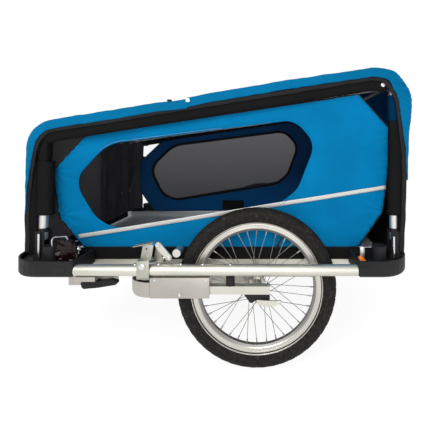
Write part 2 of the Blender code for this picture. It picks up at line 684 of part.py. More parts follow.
def reflectors(red, orange):
    for side, hand in SIDES:
        y_span = mirrored((0.359, 0.377), side)
        red_z = (CORNER_WELL_Z + GAP, 0.404)
        box(f"front_reflector_{hand}", (-0.479, -0.431), y_span, red_z, red, bevel=0.004)
        wedge = ((0.456, CORNER_WELL_Z + GAP), (0.486, CORNER_WELL_Z + GAP), (0.486, 0.381), (0.476, 0.381),
                 (0.470, 0.362))
        side_prism(f"rear_reflector_{hand}", wedge, y_span, orange)


# Cabin fabric


def cover_corners(inset):
    """The four corners of the cover's side outline, front hem to rear hem, drawn in by inset."""
    run = COVER_REAR_X - COVER_FRONT_X
    drop = inset * math.sqrt(1 + COVER_SLOPE ** 2)
    front = COVER_FRONT_X + inset
    rear = COVER_REAR_X - inset
    return [
        (front, COVER_HEM_Z), (front, COVER_FRONT_Z + COVER_SLOPE * inset - drop),
        (rear, COVER_FRONT_Z + COVER_SLOPE * (run - inset) - drop), (rear - 0.008, COVER_HEM_Z),
    ]


def cover_line(inset, low_z, steps=8):
    """The open line along the cover from the front hem over the top to the rear hem."""
    corners = cover_corners(inset)
    corners[0] = (corners[0][0], low_z)
    corners[3] = (corners[3][0] - (COVER_HEM_Z - low_z) * 0.02, low_z)
    radii = (0, COVER_RADII[0] - inset, COVER_RADII[1] - inset, 0)
    return rounded(corners, radii, steps)


def divided(line, longest):
    """The same line with points added so that no stretch is longer than longest."""
    out = [Vector(line[0])]
    for point in line[1:]:
        here = Vector(point)
        count = max(1, math.ceil((here - out[-1]).length / longest))
        start = out[-1].copy()
        out += [start.lerp(here, (i + 1) / count) for i in range(count)]
    return out


def cover(made_of):
    """A fabric channel over the whole top, its edges turned down over the sides of the frame."""
    outer = divided(cover_line(0, COVER_HEM_Z), 0.15)
    total = len(outer)
    bm = bmesh.new()
    rings = []
    for i, point in enumerate(outer):
        ahead = outer[min(i + 1, total - 1)] - outer[max(i - 1, 0)]
        normal = Vector((ahead.y, -ahead.x)).normalized()
        height = (point.y - COVER_HEM_Z) / 0.16
        band = 0.008 + (COVER_BAND - 0.008) * min(1, max(0, height))
        inner_edge = COVER_HALF_WIDTH - CLOTH
        ring = []
        for y, depth in (
            (-COVER_HALF_WIDTH, band), (-COVER_HALF_WIDTH, 0),
            (COVER_HALF_WIDTH, 0), (COVER_HALF_WIDTH, band),
            (inner_edge, band), (inner_edge, CLOTH), (-inner_edge, CLOTH), (-inner_edge, band),
        ):
            at = point + normal * depth
            ring.append(bm.verts.new((at.x, y, at.y)))
        rings.append(ring)
    for here, ahead in zip(rings, rings[1:]):
        for i in range(8):
            j = (i + 1) % 8
            bm.faces.new((here[i], here[j], ahead[j], ahead[i]))
    bm.faces.new(rings[0])
    bm.faces.new(rings[-1])
    return finish("top_cover", bm, made_of)


def sleeve(side, hand, made_of):
    """The black strip that wraps the side frame under the cover's edge."""
    outer = cover_line(0.008, SLEEVE_END_Z)
    inner = cover_line(0.008 + SLEEVE_WIDTH, SLEEVE_END_Z)
    outline = list(outer) + list(inner)[::-1]
    side_prism(f"frame_sleeve_{hand}", outline, mirrored((SLEEVE_Y - CLOTH, SLEEVE_Y), side), made_of)


def side_panel(side, hand, made_of, mesh_material):
    """The leaning side wall with its window."""
    bottom_y, bottom_z = PANEL_BOTTOM
    tilt = Matrix.Translation((0, side * bottom_y, bottom_z)) @ Matrix.Rotation(-side * PANEL_LEAN, 4, "X")
    stretch = 1 / math.cos(PANEL_LEAN)

    def flat(outline):
        return [(x, (z - bottom_z) * stretch) for x, z in outline]

    def leaning(name, outline, span, given):
        piece = side_prism(name, flat(outline), mirrored(span, side), given)
        piece.matrix_world = tilt
        return piece

    panel = leaning(f"side_panel_{hand}", rounded(PANEL_OUTLINE, PANEL_ROUND, 4), (-CLOTH, 0), made_of)
    opening = rounded(WINDOW_OUTLINE, WINDOW_ROUND, 5)
    cut(panel, leaning(f"window_opening_{hand}", opening, (-0.02, 0.02), None))
    middle = Vector((sum(x for x, _ in opening), sum(z for _, z in opening))) / len(opening)
    pane = [tuple(middle + (Vector(p) - middle) * 0.998) for p in opening]
    leaning(f"window_mesh_{hand}", pane, (-0.003, -0.001), mesh_material)


def walls(dark):
    """The front and rear walls, standing inside the cover's ends."""
    low, high = 0.3645, 0.660
    narrow, wide = 0.305, 0.356
    outline = ((-narrow, low), (narrow, low), (narrow, 0.47), (wide, 0.52), (wide, high), (-wide, high),
               (-wide, 0.52), (-narrow, 0.47))
    for name, x in (("front_wall", -0.579), ("rear_wall", 0.600)):
        bm = bmesh.new()
        extrude(bm, [(x, y, z) for y, z in outline], (CLOTH, 0, 0))
        finish(name, bm, dark)


def floor(dark, grey):
    tub = box("floor_tub", (-TUB_END_X, TUB_END_X), (-TUB_HALF_WIDTH, TUB_HALF_WIDTH), TUB_Z, dark)
    inner_x, inner_y = TUB_END_X - TUB_WALL, TUB_HALF_WIDTH - TUB_WALL
    floor_z = TUB_Z[0] + CLOTH
    cut(tub, box("tub_hollow", (-inner_x, inner_x), (-inner_y, inner_y), (floor_z, 0.5)))
    margin = 0.002
    box("floor_mat", (margin - inner_x, inner_x - margin), (margin - inner_y, inner_y - margin),
        (floor_z + GAP, floor_z + GAP + 0.003), grey)


def main():
    clear_scene()
    bright = material("polished aluminium", (0.80, 0.79, 0.75), 0.3, 1.0)
    metal = material("aluminium", (0.62, 0.62, 0.60), 0.35, 1.0)
    plastic = material("black plastic", (0.018, 0.018, 0.020), 0.5)
    rubber = material("tyre rubber", (0.016, 0.016, 0.016), 0.8)
    blue = material("blue cover fabric", (0.0, 0.17, 0.46), 0.75)
    black = material("black fabric", (0.016, 0.017, 0.020), 0.85)
    grey = material("floor fabric", (0.22, 0.23, 0.25), 0.85)
    gauze = material("window mesh", (0.10, 0.11, 0.14), 0.6)
    red = material("red lens", (0.55, 0.03, 0.04), 0.15)
    orange = material("orange lens", (0.75, 0.17, 0.02), 0.15)

    base_frame(metal, plastic, bright)
    for end, at in ((-1, "front"), (1, "rear")):
        for side, hand in SIDES:
            hoop_bracket(end, side, f"hoop_bracket_{at}_{hand}", metal)
    cabin_frame(metal)
    for side, hand in SIDES:
        swing_arm(side, hand, metal, bright, rubber, plastic)
        rail_clamp(side, hand, metal, bright)
        sleeve(side, hand, black)
        side_panel(side, hand, blue, gauze)
    drawbar_receiver(metal, plastic)
    reflectors(red, orange)
    floor(black, grey)
    walls(black)
    cover(blue)


main()
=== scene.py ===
"""Looks of the dog trailer: fabric, wheels, hardware and materials on the fixed CAD frame."""

import json
import math
import random

import bmesh
import bpy
from mathutils import Matrix, Vector, noise


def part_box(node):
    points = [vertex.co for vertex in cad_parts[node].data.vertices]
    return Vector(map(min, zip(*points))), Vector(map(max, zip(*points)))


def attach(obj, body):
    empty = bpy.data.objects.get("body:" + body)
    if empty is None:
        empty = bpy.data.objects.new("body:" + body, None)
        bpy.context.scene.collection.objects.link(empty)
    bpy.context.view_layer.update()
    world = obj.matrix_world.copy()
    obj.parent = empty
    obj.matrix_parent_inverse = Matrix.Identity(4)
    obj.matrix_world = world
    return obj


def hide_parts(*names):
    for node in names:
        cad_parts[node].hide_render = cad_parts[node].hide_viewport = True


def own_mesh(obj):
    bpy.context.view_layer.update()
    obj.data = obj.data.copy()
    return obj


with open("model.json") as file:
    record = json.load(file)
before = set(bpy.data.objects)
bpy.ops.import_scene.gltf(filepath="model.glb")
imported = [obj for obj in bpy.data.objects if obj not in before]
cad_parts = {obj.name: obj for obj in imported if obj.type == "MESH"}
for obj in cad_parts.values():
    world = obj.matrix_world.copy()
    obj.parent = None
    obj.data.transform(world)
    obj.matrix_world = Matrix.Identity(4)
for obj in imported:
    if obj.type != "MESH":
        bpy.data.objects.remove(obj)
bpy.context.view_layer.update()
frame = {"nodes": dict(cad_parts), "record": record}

CHASSIS = "chassis"
SIDES = ((-1, "left"), (1, "right"))

# Cabin outline, as in the CAD model
COVER_FRONT_X = -0.586
COVER_REAR_X = 0.6265
COVER_FRONT_Z = 0.777
COVER_SLOPE = 0.1602
COVER_RADII = (0.102, 0.11)
COVER_HEM_Z = 0.597
FRONT_HEM_Z = 0.494
COVER_HALF = 0.368
COVER_JOIN_X = -0.078
COVER_STEP = 0.007
PANEL_BOTTOM = (0.2965, 0.3645)
PANEL_LEAN = 0.0965
PANEL_OUTLINE = (
    (-0.443, 0.3645), (0.48, 0.3645), (0.557, 0.484), (0.583, 0.747),
    (0.467, 0.869), (-0.413, 0.739), (-0.53, 0.624), (-0.519, 0.467),
)
PANEL_ROUND = (0.006, 0.006, 0.014, 0.01, 0.008, 0.01, 0.008, 0.014)
WINDOW_OUTLINE = (
    (-0.376, 0.4205), (0.215, 0.513), (0.275, 0.56), (0.332, 0.712),
    (0.262, 0.79), (-0.345, 0.712), (-0.466, 0.592),
)
WINDOW_ROUND = (0.11, 0.1, 0.09, 0.068, 0.074, 0.13, 0.075)
PANEL_CENTRE = (-0.06, 0.602)
STRIP_ENDS = ((-0.457, 0.402), (0.5645, 0.5685))
STRIP_WIDTH = 0.0135

# Flat sizes of the sewn sheets that the outlines above give
WALL_HALF = 0.3545
WALL_FOOT_HALF = 0.302
WALL_STEP = 0.008

AXLE = (0.141, 0.254)
WHEEL_Y = 0.345
FLANGE_Y = 0.027
RAIL_Y = 0.399
RAIL_Z = 0.329
RAIL_RADIUS = 0.017
HOUSING_X = (-0.174, 0.003)
HOUSING_FACE_Y = 0.415
CLAMP_X = (-0.2115, -0.1745)


# Materials


def shader(name, colour, roughness, metallic=0.0, **sockets):
    """A Principled material; the further sockets are named with underscores for spaces."""
    made = bpy.data.materials.new(name)
    made.use_nodes = True
    tree = made.node_tree
    bsdf = tree.nodes["Principled BSDF"]
    bsdf.inputs["Base Color"].default_value = (*colour, 1)
    bsdf.inputs["Roughness"].default_value = roughness
    bsdf.inputs["Metallic"].default_value = metallic
    for key, value in sockets.items():
        bsdf.inputs[key.replace("_", " ")].default_value = value
    return made, tree, bsdf


def node(tree, kind, **inputs):
    """A new shader node; each input is given as a value or as another node's output."""
    made = tree.nodes.new("ShaderNode" + kind)
    for key, value in inputs.items():
        feed(tree, made.inputs[key.replace("_", " ")], value)
    return made


def feed(tree, socket, value):
    if isinstance(value, bpy.types.NodeSocket):
        tree.links.new(value, socket)
    else:
        socket.default_value = value


def mapped(tree, scale=(1, 1, 1)):
    """The object's own coordinates, scaled."""
    place = node(tree, "TexCoord").outputs["Object"]
    return node(tree, "Mapping", Vector=place, Scale=scale).outputs["Vector"]


def noise_value(tree, scale, detail=3.0, stretch=(1, 1, 1)):
    return node(tree, "TexNoise", Vector=mapped(tree, stretch), Scale=scale, Detail=detail).outputs["Fac"]


def wave_value(tree, scale, direction):
    """Parallel bands across a direction."""
    texture = node(tree, "TexWave", Vector=mapped(tree), Scale=scale)
    texture.bands_direction = direction
    return texture.outputs["Fac"]


def combined(tree, first, second, operation="ADD"):
    made = node(tree, "Math")
    made.operation = operation
    feed(tree, made.inputs[0], first)
    feed(tree, made.inputs[1], second)
    return made.outputs["Value"]


def bumped(tree, bsdf, height, distance):
    """Fine relief from a height value."""
    bump = node(tree, "Bump", Height=height, Distance=distance)
    feed(tree, bsdf.inputs["Normal"], bump.outputs["Normal"])


def coloured(tree, bsdf, factor, stops):
    """Base colour from a ramp of (position, colour) stops over a factor."""
    ramp = node(tree, "ValToRGB", Fac=factor)
    elements = ramp.color_ramp.elements
    while len(elements) < len(stops):
        elements.new(0.5)
    for element, (position, colour) in zip(elements, stops):
        element.position = position
        element.color = (*colour, 1)
    feed(tree, bsdf.inputs["Base Color"], ramp.outputs["Color"])


def ranged(tree, socket, factor, low, high):
    """Feeds a socket from a factor that goes from 0 to 1."""
    feed(tree, socket, node(tree, "MapRange", Value=factor, To_Min=low, To_Max=high).outputs["Result"])


def roughened(tree, bsdf, factor, low, high):
    ranged(tree, bsdf.inputs["Roughness"], factor, low, high)


def tinted(colour, amount):
    return tuple(c * amount for c in colour)


def cloth(name, colour, roughness, thread=900.0, relief=0.00012):
    """Plain weave: threads in all three directions, slight fading and soft creases."""
    made, tree, bsdf = shader(name, colour, roughness, Specular_IOR_Level=0.04)
    fading = noise_value(tree, 7.0, 4.0)
    coloured(tree, bsdf, fading, ((0.3, tinted(colour, 0.88)), (0.7, tinted(colour, 1.1))))
    weave = combined(tree, wave_value(tree, thread, "X"), wave_value(tree, thread, "Z"))
    weave = combined(tree, weave, wave_value(tree, thread, "Y"))
    creases = combined(tree, noise_value(tree, 38.0, 5.0), 6.0, "MULTIPLY")
    bumped(tree, bsdf, combined(tree, weave, creases), relief)
    roughened(tree, bsdf, noise_value(tree, 20.0, 3.0), roughness - 0.08, min(1.0, roughness + 0.08))
    return made


def brushed(name, colour, roughness, lengthwise=(3, 160, 160)):
    """Drawn aluminium with fine lines along X."""
    made, tree, bsdf = shader(name, colour, roughness, 1.0)
    lines = noise_value(tree, 6.0, 5.0, lengthwise)
    stops = ((0.3, tinted(colour, 0.9)), (0.7, tinted(colour, 1.04)))
    coloured(tree, bsdf, noise_value(tree, 9.0, 4.0), stops)
    roughened(tree, bsdf, lines, roughness - 0.07, roughness + 0.12)
    bumped(tree, bsdf, lines, 0.00006)
    return made


def moulded(name, colour, roughness):
    """Moulded plastic with a fine leather-like grain and rubbed patches."""
    made, tree, bsdf = shader(name, colour, roughness, Specular_IOR_Level=0.2)
    coloured(tree, bsdf, noise_value(tree, 14.0, 5.0), ((0.35, colour), (0.75, tinted(colour, 1.7))))
    roughened(tree, bsdf, noise_value(tree, 22.0, 4.0), roughness - 0.08, roughness + 0.14)
    bumped(tree, bsdf, noise_value(tree, 900.0, 2.0), 0.0001)
    return made


def tyre_rubber():
    """Rubber with road dust in its grain."""
    made, tree, bsdf = shader("tyre_rubber", (0.022, 0.022, 0.022), 0.75, Specular_IOR_Level=0.12)
    dust = noise_value(tree, 90.0, 6.0)
    stops = ((0.4, (0.01, 0.0095, 0.009)), (0.62, (0.019, 0.018, 0.016)), (0.78, (0.055, 0.05, 0.042)))
    coloured(tree, bsdf, dust, stops)
    roughened(tree, bsdf, dust, 0.62, 0.88)
    bumped(tree, bsdf, noise_value(tree, 500.0, 3.0), 0.00015)
    return made


def reflective_tape():
    """Retroreflective tape: silver with a fine diamond emboss."""
    made, tree, bsdf = shader("reflective_tape", (0.6, 0.6, 0.59), 0.45, 0.2)
    diamonds = wave_value(tree, 60.0, "DIAGONAL")
    coloured(tree, bsdf, diamonds, ((0.25, (0.46, 0.46, 0.44)), (0.6, (0.58, 0.58, 0.55))))
    bumped(tree, bsdf, diamonds, 0.00005)
    return made


def lens(name, colour):
    """Clear moulded reflector with prism cells behind the face."""
    made, tree, bsdf = shader(name, colour, 0.25, Coat_Weight=0.15, Coat_Roughness=0.1,
                              Specular_IOR_Level=0.2)
    cells = node(tree, "TexVoronoi", Vector=mapped(tree), Scale=260.0).outputs["Distance"]
    coloured(tree, bsdf, cells, ((0.1, tinted(colour, 0.35)), (0.6, tinted(colour, 1.5))))
    bumped(tree, bsdf, cells, 0.0006)
    return made


def gauze(name, cover, colour, thinner=0.0):
    """Fine dark window mesh.

    cover is the share of the view that its threads block, and thinner how much less at the top.
    """
    made, tree, bsdf = shader(name, colour, 0.9, Specular_IOR_Level=0.1)
    threads = combined(tree, wave_value(tree, 420.0, "X"), wave_value(tree, 420.0, "Z"), "MULTIPLY")
    coloured(tree, bsdf, threads, ((0.0, tinted(colour, 0.75)), (1.0, tinted(colour, 1.3))))
    bumped(tree, bsdf, threads, 0.0002)
    place = node(tree, "TexCoord").outputs["Generated"]
    height = node(tree, "SeparateXYZ", Vector=place).outputs["Z"]
    ranged(tree, bsdf.inputs["Alpha"], height, cover, cover - thinner)
    return made


def ribbed_mat():
    """The pale floor mat with its woven ribs."""
    colour = (0.8, 0.83, 0.84)
    made, tree, bsdf = shader("floor_ribs", colour, 0.8)
    ribs = wave_value(tree, 55.0, "Y")
    coloured(tree, bsdf, combined(tree, ribs, noise_value(tree, 60.0, 5.0), "MULTIPLY"),
             ((0.1, tinted(colour, 0.75)), (0.6, tinted(colour, 1.15))))
    bumped(tree, bsdf, ribs, 0.0008)
    return made


BRIGHT = brushed("bright_aluminium", (0.65, 0.64, 0.565), 0.47)
# A darker copy of the bright aluminium for the clamp bracket: painted shade.
SHADED_CLAMP = brushed("clamp_aluminium_painted_shade", (0.46, 0.46, 0.4), 0.45)
SATIN_PLATE = brushed("satin_plate", (0.5, 0.475, 0.43), 0.48)
SPOKE_STEEL = brushed("spoke_steel", (0.34, 0.34, 0.32), 0.35)
SATIN = brushed("satin_aluminium", (0.66, 0.66, 0.64), 0.38)
# A darker copy of the rim's aluminium for the rim's inner well: painted shade.
RIM_SHADED = brushed("rim_inside_painted_shade", (0.3, 0.295, 0.285), 0.5, (90, 90, 90))
RIM = brushed("rim_aluminium", (0.62, 0.6, 0.55), 0.36, (90, 90, 90))
STEEL = brushed("zinc_steel", (0.72, 0.72, 0.71), 0.24, (60, 60, 60))
PLASTIC = moulded("black_plastic", (0.009, 0.009, 0.01), 0.5)
ELASTOMER = moulded("elastomer", (0.012, 0.012, 0.012), 0.6)
RUBBER = tyre_rubber()
BLUE = cloth("cover_blue", (0.0, 0.165, 0.375), 0.62)
ROOF_BLUE = cloth("roof_blue", (0.0, 0.136, 0.3), 0.62)
NAVY = cloth("lining_navy", (0.0, 0.08, 0.25), 0.75)
# A darker copy of the navy lining for the rear hoops' slim sleeves: painted shade.
SHADED_NAVY = cloth("lining_navy_painted_shade", (0.0, 0.022, 0.06), 0.85)
BLACK = cloth("black_cloth", (0.0095, 0.009, 0.009), 0.8, 620.0)
FLAP = cloth("flap_cloth", (0.07, 0.068, 0.074), 0.8, 620.0)
CHARCOAL = cloth("charcoal_cloth", (0.19, 0.18, 0.18), 0.85, 620.0)
BINDING = cloth("binding_tape", (0.02, 0.02, 0.022), 0.7, 1500.0, 0.00025)
THREAD = cloth("white_thread", (0.42, 0.46, 0.5), 0.7, 2500.0)
TAPE = reflective_tape()
OPEN_GAUZE = gauze("window_gauze_open", 0.07, (0.02, 0.02, 0.025))
DENSE_GAUZE = gauze("window_gauze_dense", 0.968, (0.034, 0.037, 0.058), 0.065)
MAT = ribbed_mat()
RED = lens("red_lens", (0.006, 0.0012, 0.0018))
ORANGE = lens("orange_lens", (0.85, 0.2, 0.02))

# The record's material slots; the first look is the one for CAD nodes
LOOKS = {
    "bright_aluminium": (BRIGHT, SATIN_PLATE, SHADED_CLAMP),
    "frame_aluminium": (SATIN,),
    "rim_aluminium": (RIM,),
    "steel": (STEEL, SPOKE_STEEL),
    "black_plastic": (PLASTIC,),
    "elastomer": (ELASTOMER,),
    "tyre": (RUBBER,),
    "cover_fabric": (BLUE, ROOF_BLUE, THREAD),
    "black_fabric": (BLACK, SHADED_NAVY, FLAP, BINDING),
    "floor_fabric": (MAT,),
    "window_mesh": (DENSE_GAUZE, OPEN_GAUZE, TAPE),
    "red_lens": (RED,),
    "orange_lens": (ORANGE,),
}


# Building


def placed(obj, body, *nodes, finish=None):
    """Puts the piece on a body and hides the CAD nodes that it stands for.

    finish is not used.
    """
    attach(obj, body)
    if nodes:
        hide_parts(*nodes)
    return obj


def from_bmesh(name, bm, *materials, angle=40):
    """An object from bm, whose edges are sharp from an angle up."""
    bmesh.ops.recalc_face_normals(bm, faces=bm.faces)
    mesh = bpy.data.meshes.new(name)
    bm.to_mesh(mesh)
    bm.free()
    mesh.shade_smooth()
    mesh.set_sharp_from_angle(angle=math.radians(angle))
    for made in materials:
        mesh.materials.append(made)
    obj = bpy.data.objects.new(name, mesh)
    bpy.context.scene.collection.objects.link(obj)
    return obj


def grid(name, rows, *materials, loop_rows=False, loop_columns=False, caps=False, angle=60):
    """A surface through rows of points, with a cap on the first and last row where asked."""
    bm = bmesh.new()
    made = [[bm.verts.new(p) for p in row] for row in rows]
    row_count, column_count = len(rows), len(rows[0])
    for i in range(row_count if loop_rows else row_count - 1):
        for j in range(column_count if loop_columns else column_count - 1):
            a, b = made[i], made[(i + 1) % row_count]
            k = (j + 1) % column_count
            bm.faces.new((a[j], a[k], b[k], b[j]))
    if caps:
        bm.faces.new(made[0])
        bm.faces.new(made[-1])
    return from_bmesh(name, bm, *materials, angle=angle)


def thicken(obj, thickness, offset=0.0, inner=0):
    """Gives a sheet its thickness; inner is the step from the outer material to the inner one."""
    solidify = obj.modifiers.new("thickness", "SOLIDIFY")
    solidify.thickness = thickness
    solidify.offset = offset
    solidify.material_offset = inner
    return obj


def lathe(bm, profile, centre, segments, axis="Y", closed=False):
    """Adds a turned shape to bm from (radius, offset) points; the ends of an open profile are capped."""
    x, y, z = centre
    rings = []
    for r, offset in profile:
        ring = []
        for i in range(segments):
            angle = 2 * math.pi * i / segments
            a, b = r * math.cos(angle), r * math.sin(angle)
            at = (x + a, y + offset, z + b) if axis == "Y" else (x + a, y + b, z + offset)
            ring.append(bm.verts.new(at))
        rings.append(ring)
    for here, ahead in zip(rings, rings[1:] + rings[:closed]):
        for i in range(segments):
            j = (i + 1) % segments
            bm.faces.new((here[i], here[j], ahead[j], ahead[i]))
    if not closed:
        bm.faces.new(rings[0])
        bm.faces.new(rings[-1])


def wire(name, points, radius, material, closed=False):
    """A round cord or rod through points."""
    path = [Vector(p) for p in points]
    count = len(path)
    rings = []
    normal = None
    for i, here in enumerate(path):
        ahead = path[(i + 1) % count] if closed else path[min(i + 1, count - 1)]
        behind = path[i - 1] if closed else path[max(i - 1, 0)]
        along = (ahead - behind).normalized()
        if normal is None:
            normal = along.orthogonal()
        normal = (normal - along * normal.dot(along)).normalized()
        sideways = along.cross(normal)
        turns = [math.pi * k / 4 for k in range(8)]
        rings.append([here + (normal * math.cos(t) + sideways * math.sin(t)) * radius for t in turns])
    return grid(name, rings, material, loop_rows=closed, loop_columns=True, caps=not closed, angle=40)


def rounded(points, radii, steps=8, closed=True):
    """The outline with arcs in place of its corners."""
    outline = []
    count = len(points)
    for i, corner in enumerate(points):
        here = Vector(corner)
        if radii[i] <= 0 or (not closed and i in (0, count - 1)):
            outline.append(here)
            continue
        back = (Vector(points[i - 1]) - here).normalized()
        ahead = (Vector(points[(i + 1) % count]) - here).normalized()
        half = back.angle(ahead) / 2
        reach = radii[i] / math.tan(half)
        centre = here + (back + ahead).normalized() * radii[i] / math.sin(half)
        start = here + back * reach - centre
        turn = start.angle_signed(here + ahead * reach - centre)
        for step in range(steps + 1):
            outline.append(centre + Matrix.Rotation(-turn * step / steps, 2) @ start)
    return outline


def resampled(points, spacing, closed=False):
    """Evenly spaced points along a line."""
    path = [Vector(p) for p in points]
    if closed:
        path.append(path[0])
    lengths = [0.0]
    for a, b in zip(path, path[1:]):
        lengths.append(lengths[-1] + (b - a).length)
    count = max(2, round(lengths[-1] / spacing))
    result, k = [], 0
    for i in range(count if closed else count + 1):
        target = lengths[-1] * i / count
        while k < len(path) - 2 and lengths[k + 1] < target:
            k += 1
        stretch = lengths[k + 1] - lengths[k]
        result.append(path[k].lerp(path[k + 1], (target - lengths[k]) / stretch if stretch else 0))
    return result


def inward(line, i, closed=False):
    """The unit normal at point i, to the right of the way along the line."""
    count = len(line)
    after = line[(i + 1) % count] if closed else line[min(i + 1, count - 1)]
    before = line[i - 1] if closed else line[max(i - 1, 0)]
    along = after - before
    return Vector((along.y, -along.x)).normalized()


def ripple(x, y, z, scale):
    """Smooth noise between about -1 and 1 with waves of the given size."""
    return noise.noise(Vector((x / scale, y / scale, z / scale)))


def smooth_step(value, low, high):
    """0 up to low, 1 from high on, and a smooth rise between."""
    t = min(1.0, max(0.0, (value - low) / (high - low)))
    return t * t * (3 - 2 * t)


# Cabin fabric


def soft(obj, *nodes):
    """A fabric piece of the cabin, put on the chassis with its own copy of its mesh."""
    sinks(placed(obj, CHASSIS, *nodes))


def sinks(obj):
    """Gives a piece its own copy of its mesh."""
    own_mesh(obj)


def cover_line(front_z=FRONT_HEM_Z, low_z=COVER_HEM_Z):
    """The side view of the cover, from the front hem over the top to the rear hem."""
    rear_z = COVER_FRONT_Z + COVER_SLOPE * (COVER_REAR_X - COVER_FRONT_X)
    lean = 0.0095 + 0.045 * (COVER_HEM_Z - low_z)
    corners = ((COVER_FRONT_X, front_z), (COVER_FRONT_X, COVER_FRONT_Z), (COVER_REAR_X, rear_z),
               (COVER_REAR_X - lean, low_z))
    return resampled(rounded(corners, (0, *COVER_RADII, 0), 20, closed=False), COVER_STEP)


def band_width(point):
    """How far the cover's edge turns down over the side."""
    low_z, reach, least = (FRONT_HEM_Z, 0.275, 0.001) if point.x < 0 else (COVER_HEM_Z, 0.26, 0.004)
    rising = smooth_step(point.y, low_z, low_z + reach)
    corner = math.exp(-((point.x - 0.6) / 0.05) ** 2 - ((point.y - 0.9) / 0.07) ** 2)
    return least + (0.03 - least) * rising + 0.01 * corner + 0.002 * ripple(point.x, 0, point.y, 0.05)


def cover_point(line, i, sideways, depth, share, side):
    """A point of the cover with its creases.

    depth is how far in from the side outline; share is how much of the pleats and bulges it takes.
    """
    at = line[i]
    along = COVER_STEP * i
    rear = math.exp(-((at.x - 0.605) / 0.055) ** 2 - ((at.y - 0.875) / 0.095) ** 2)
    front = 0.45 * math.exp(-((at.x + 0.575) / 0.05) ** 2 - ((at.y - 0.715) / 0.085) ** 2)
    edge = smooth_step(abs(sideways), 0.25, COVER_HALF)
    wave = math.sin(2 * math.pi * (along + 1.1 * depth) / 0.0175 + 2.5 * ripple(at.x, 0, at.y, 0.05))
    crease = 0.0024 * (rear + front) * edge * wave * share
    crease += 0.0018 * ripple(at.x, sideways, at.y, 0.06) + 0.001 * ripple(at.x, sideways, at.y, 0.022)
    bulge = 0.009 * math.exp(-((at.y - 0.83) / 0.065) ** 2) * share if at.x > 0.56 else 0.0
    slack = 0.0045 * math.exp(-((at.x - COVER_JOIN_X + 0.02) / 0.055) ** 2) if at.x < COVER_JOIN_X else 0.0
    normal = inward(line, i)
    sag = 0.007 * (1 - (sideways / COVER_HALF) ** 2) * (1 + 0.4 * ripple(at.x, 0, at.y, 0.3)) * abs(normal.y)
    crown = 0.005 * math.exp(-((at.x - 0.22) / 0.24) ** 2)
    if at.y > 0.9:
        crown += 0.006 * math.exp(-((at.x - 0.572) / 0.026) ** 2)
    place = at + normal * (depth + crease + slack - bulge - crown + (sag if side == 0 else 0) + 0.002)
    outward = side * (0.003 * (rear + 0.6 * front) * wave + 0.0016 * ripple(at.x, 0, at.y, 0.03))
    return Vector((place.x, sideways + outward, place.y))


def cover_section(line, i):
    """A row of points over the cover, with the edge turned down on both sides."""
    width = band_width(line[i])
    halves = []
    for side in (-1, 1):
        edge = side * (COVER_HALF - 0.001)
        half = [cover_point(line, i, edge, width * (1 - k / 6), k / 6, side) for k in range(6)]
        half.append(cover_point(line, i, side * (COVER_HALF - 0.0035), 0.0012, 1, side))
        halves.append(half)
    top = [(COVER_HALF - 0.006) * (k / 20 - 1) for k in range(1, 40)]
    return halves[0] + [cover_point(line, i, y, 0, 1, 0) for y in top] + halves[1][::-1]


def covers():
    """Roof and front cover, which meet on the roof, and the dark tape along their edges."""
    line = cover_line()
    rows = [cover_section(line, i) for i in range(len(line))]
    join = next(i for i, p in enumerate(line) if p.x > COVER_JOIN_X)
    front = grid("front_cover", rows[:join + 1], ROOF_BLUE, NAVY)
    rear_rows = [[p + Vector((0, 0, 0.0022)) for p in rows[join - 1]]] + rows[join:]
    roof = grid("roof_cover", rear_rows, ROOF_BLUE, NAVY)
    for piece, count in ((front, join), (roof, len(line) - join)):
        thicken(piece, 0.0012, -1.0, 1)
    soft(roof, "top_cover")
    soft(front)
    line = cover_line(0.37, 0.37)
    for side, hand in SIDES:
        rows = []
        for i, at in enumerate(line):
            start = band_width(at) - 0.001
            drop = 0.013 + 0.001 * ripple(at.x, 1, at.y, 0.04)
            row = []
            for k in range(4):
                place = at + inward(line, i) * (start + drop * k / 3)
                row.append((place.x, side * (COVER_HALF - 0.0035 - 0.0006 * k), place.y))
            rows.append(row)
        soft(thicken(grid(f"cover_binding_{hand}", rows, BINDING), 0.0014))


def frame_sleeves():
    """The black strip inside the cover's edge and the sleeves round the legs of the hoops."""
    line = cover_line(0.362, 0.362)
    for side, hand in SIDES:
        rows = []
        for i, at in enumerate(line):
            if at.x < 0:
                width = 0.031 + 0.041 * smooth_step(at.y, 0.7, 0.775)
            else:
                width = 0.018 + 0.054 * smooth_step(at.y, 0.8, 0.885) * smooth_step(-at.x, -0.62, -0.57)
            row = []
            for k in range(7):
                place = at + inward(line, i) * (0.006 + (width - 0.006) * k / 6)
                bulge = 0.0015 * math.sin(math.pi * k / 6) + 0.0012 * ripple(at.x, k, at.y, 0.07)
                row.append((place.x, side * (0.36 + bulge - 0.008 * (k / 6) ** 2), place.y))
            rows.append(row)
        soft(thicken(grid(f"frame_strip_{hand}", rows, BLACK), 0.0014), f"frame_sleeve_{hand}")
        for body, wide, slim, half_width, foot_x, lining in (
            ("front_hoop", ((-0.537, 0.484), (-0.536, 0.655)), ((-0.5378, 0.655), (-0.5352, 0.742)),
             0.0235, -0.5438, BLACK),
            # The rear hoop's slim sleeves take the darker copy of the navy lining: painted shade.
            ("rear_hoop", ((0.585, 0.484), (0.5865, 0.785)), ((0.577, 0.785), (0.5763, 0.865)),
             0.0222, 0.5796, SHADED_NAVY),
        ):
            upright_sleeve(f"{body}_sleeve_{hand}", body, side, *wide, (half_width, 0.0155), BLACK)
            upright_sleeve(f"{body}_slim_sleeve_{hand}", body, side, *slim, (0.0145, 0.0145), lining)
            ferrule(f"{body}_ferrule_{hand}", body, side, foot_x)


def ferrule(name, body, side, x):
    """The plastic ring where a hoop's leg leaves its bracket."""
    profile = ((0.0132, 0), (0.0148, 0.001), (0.0148, 0.012), (0.014, 0.0135), (0.0132, 0.0135))
    one_turned(name, profile, (x, side * 0.342, 0.4285), 24, PLASTIC, body, "Z")


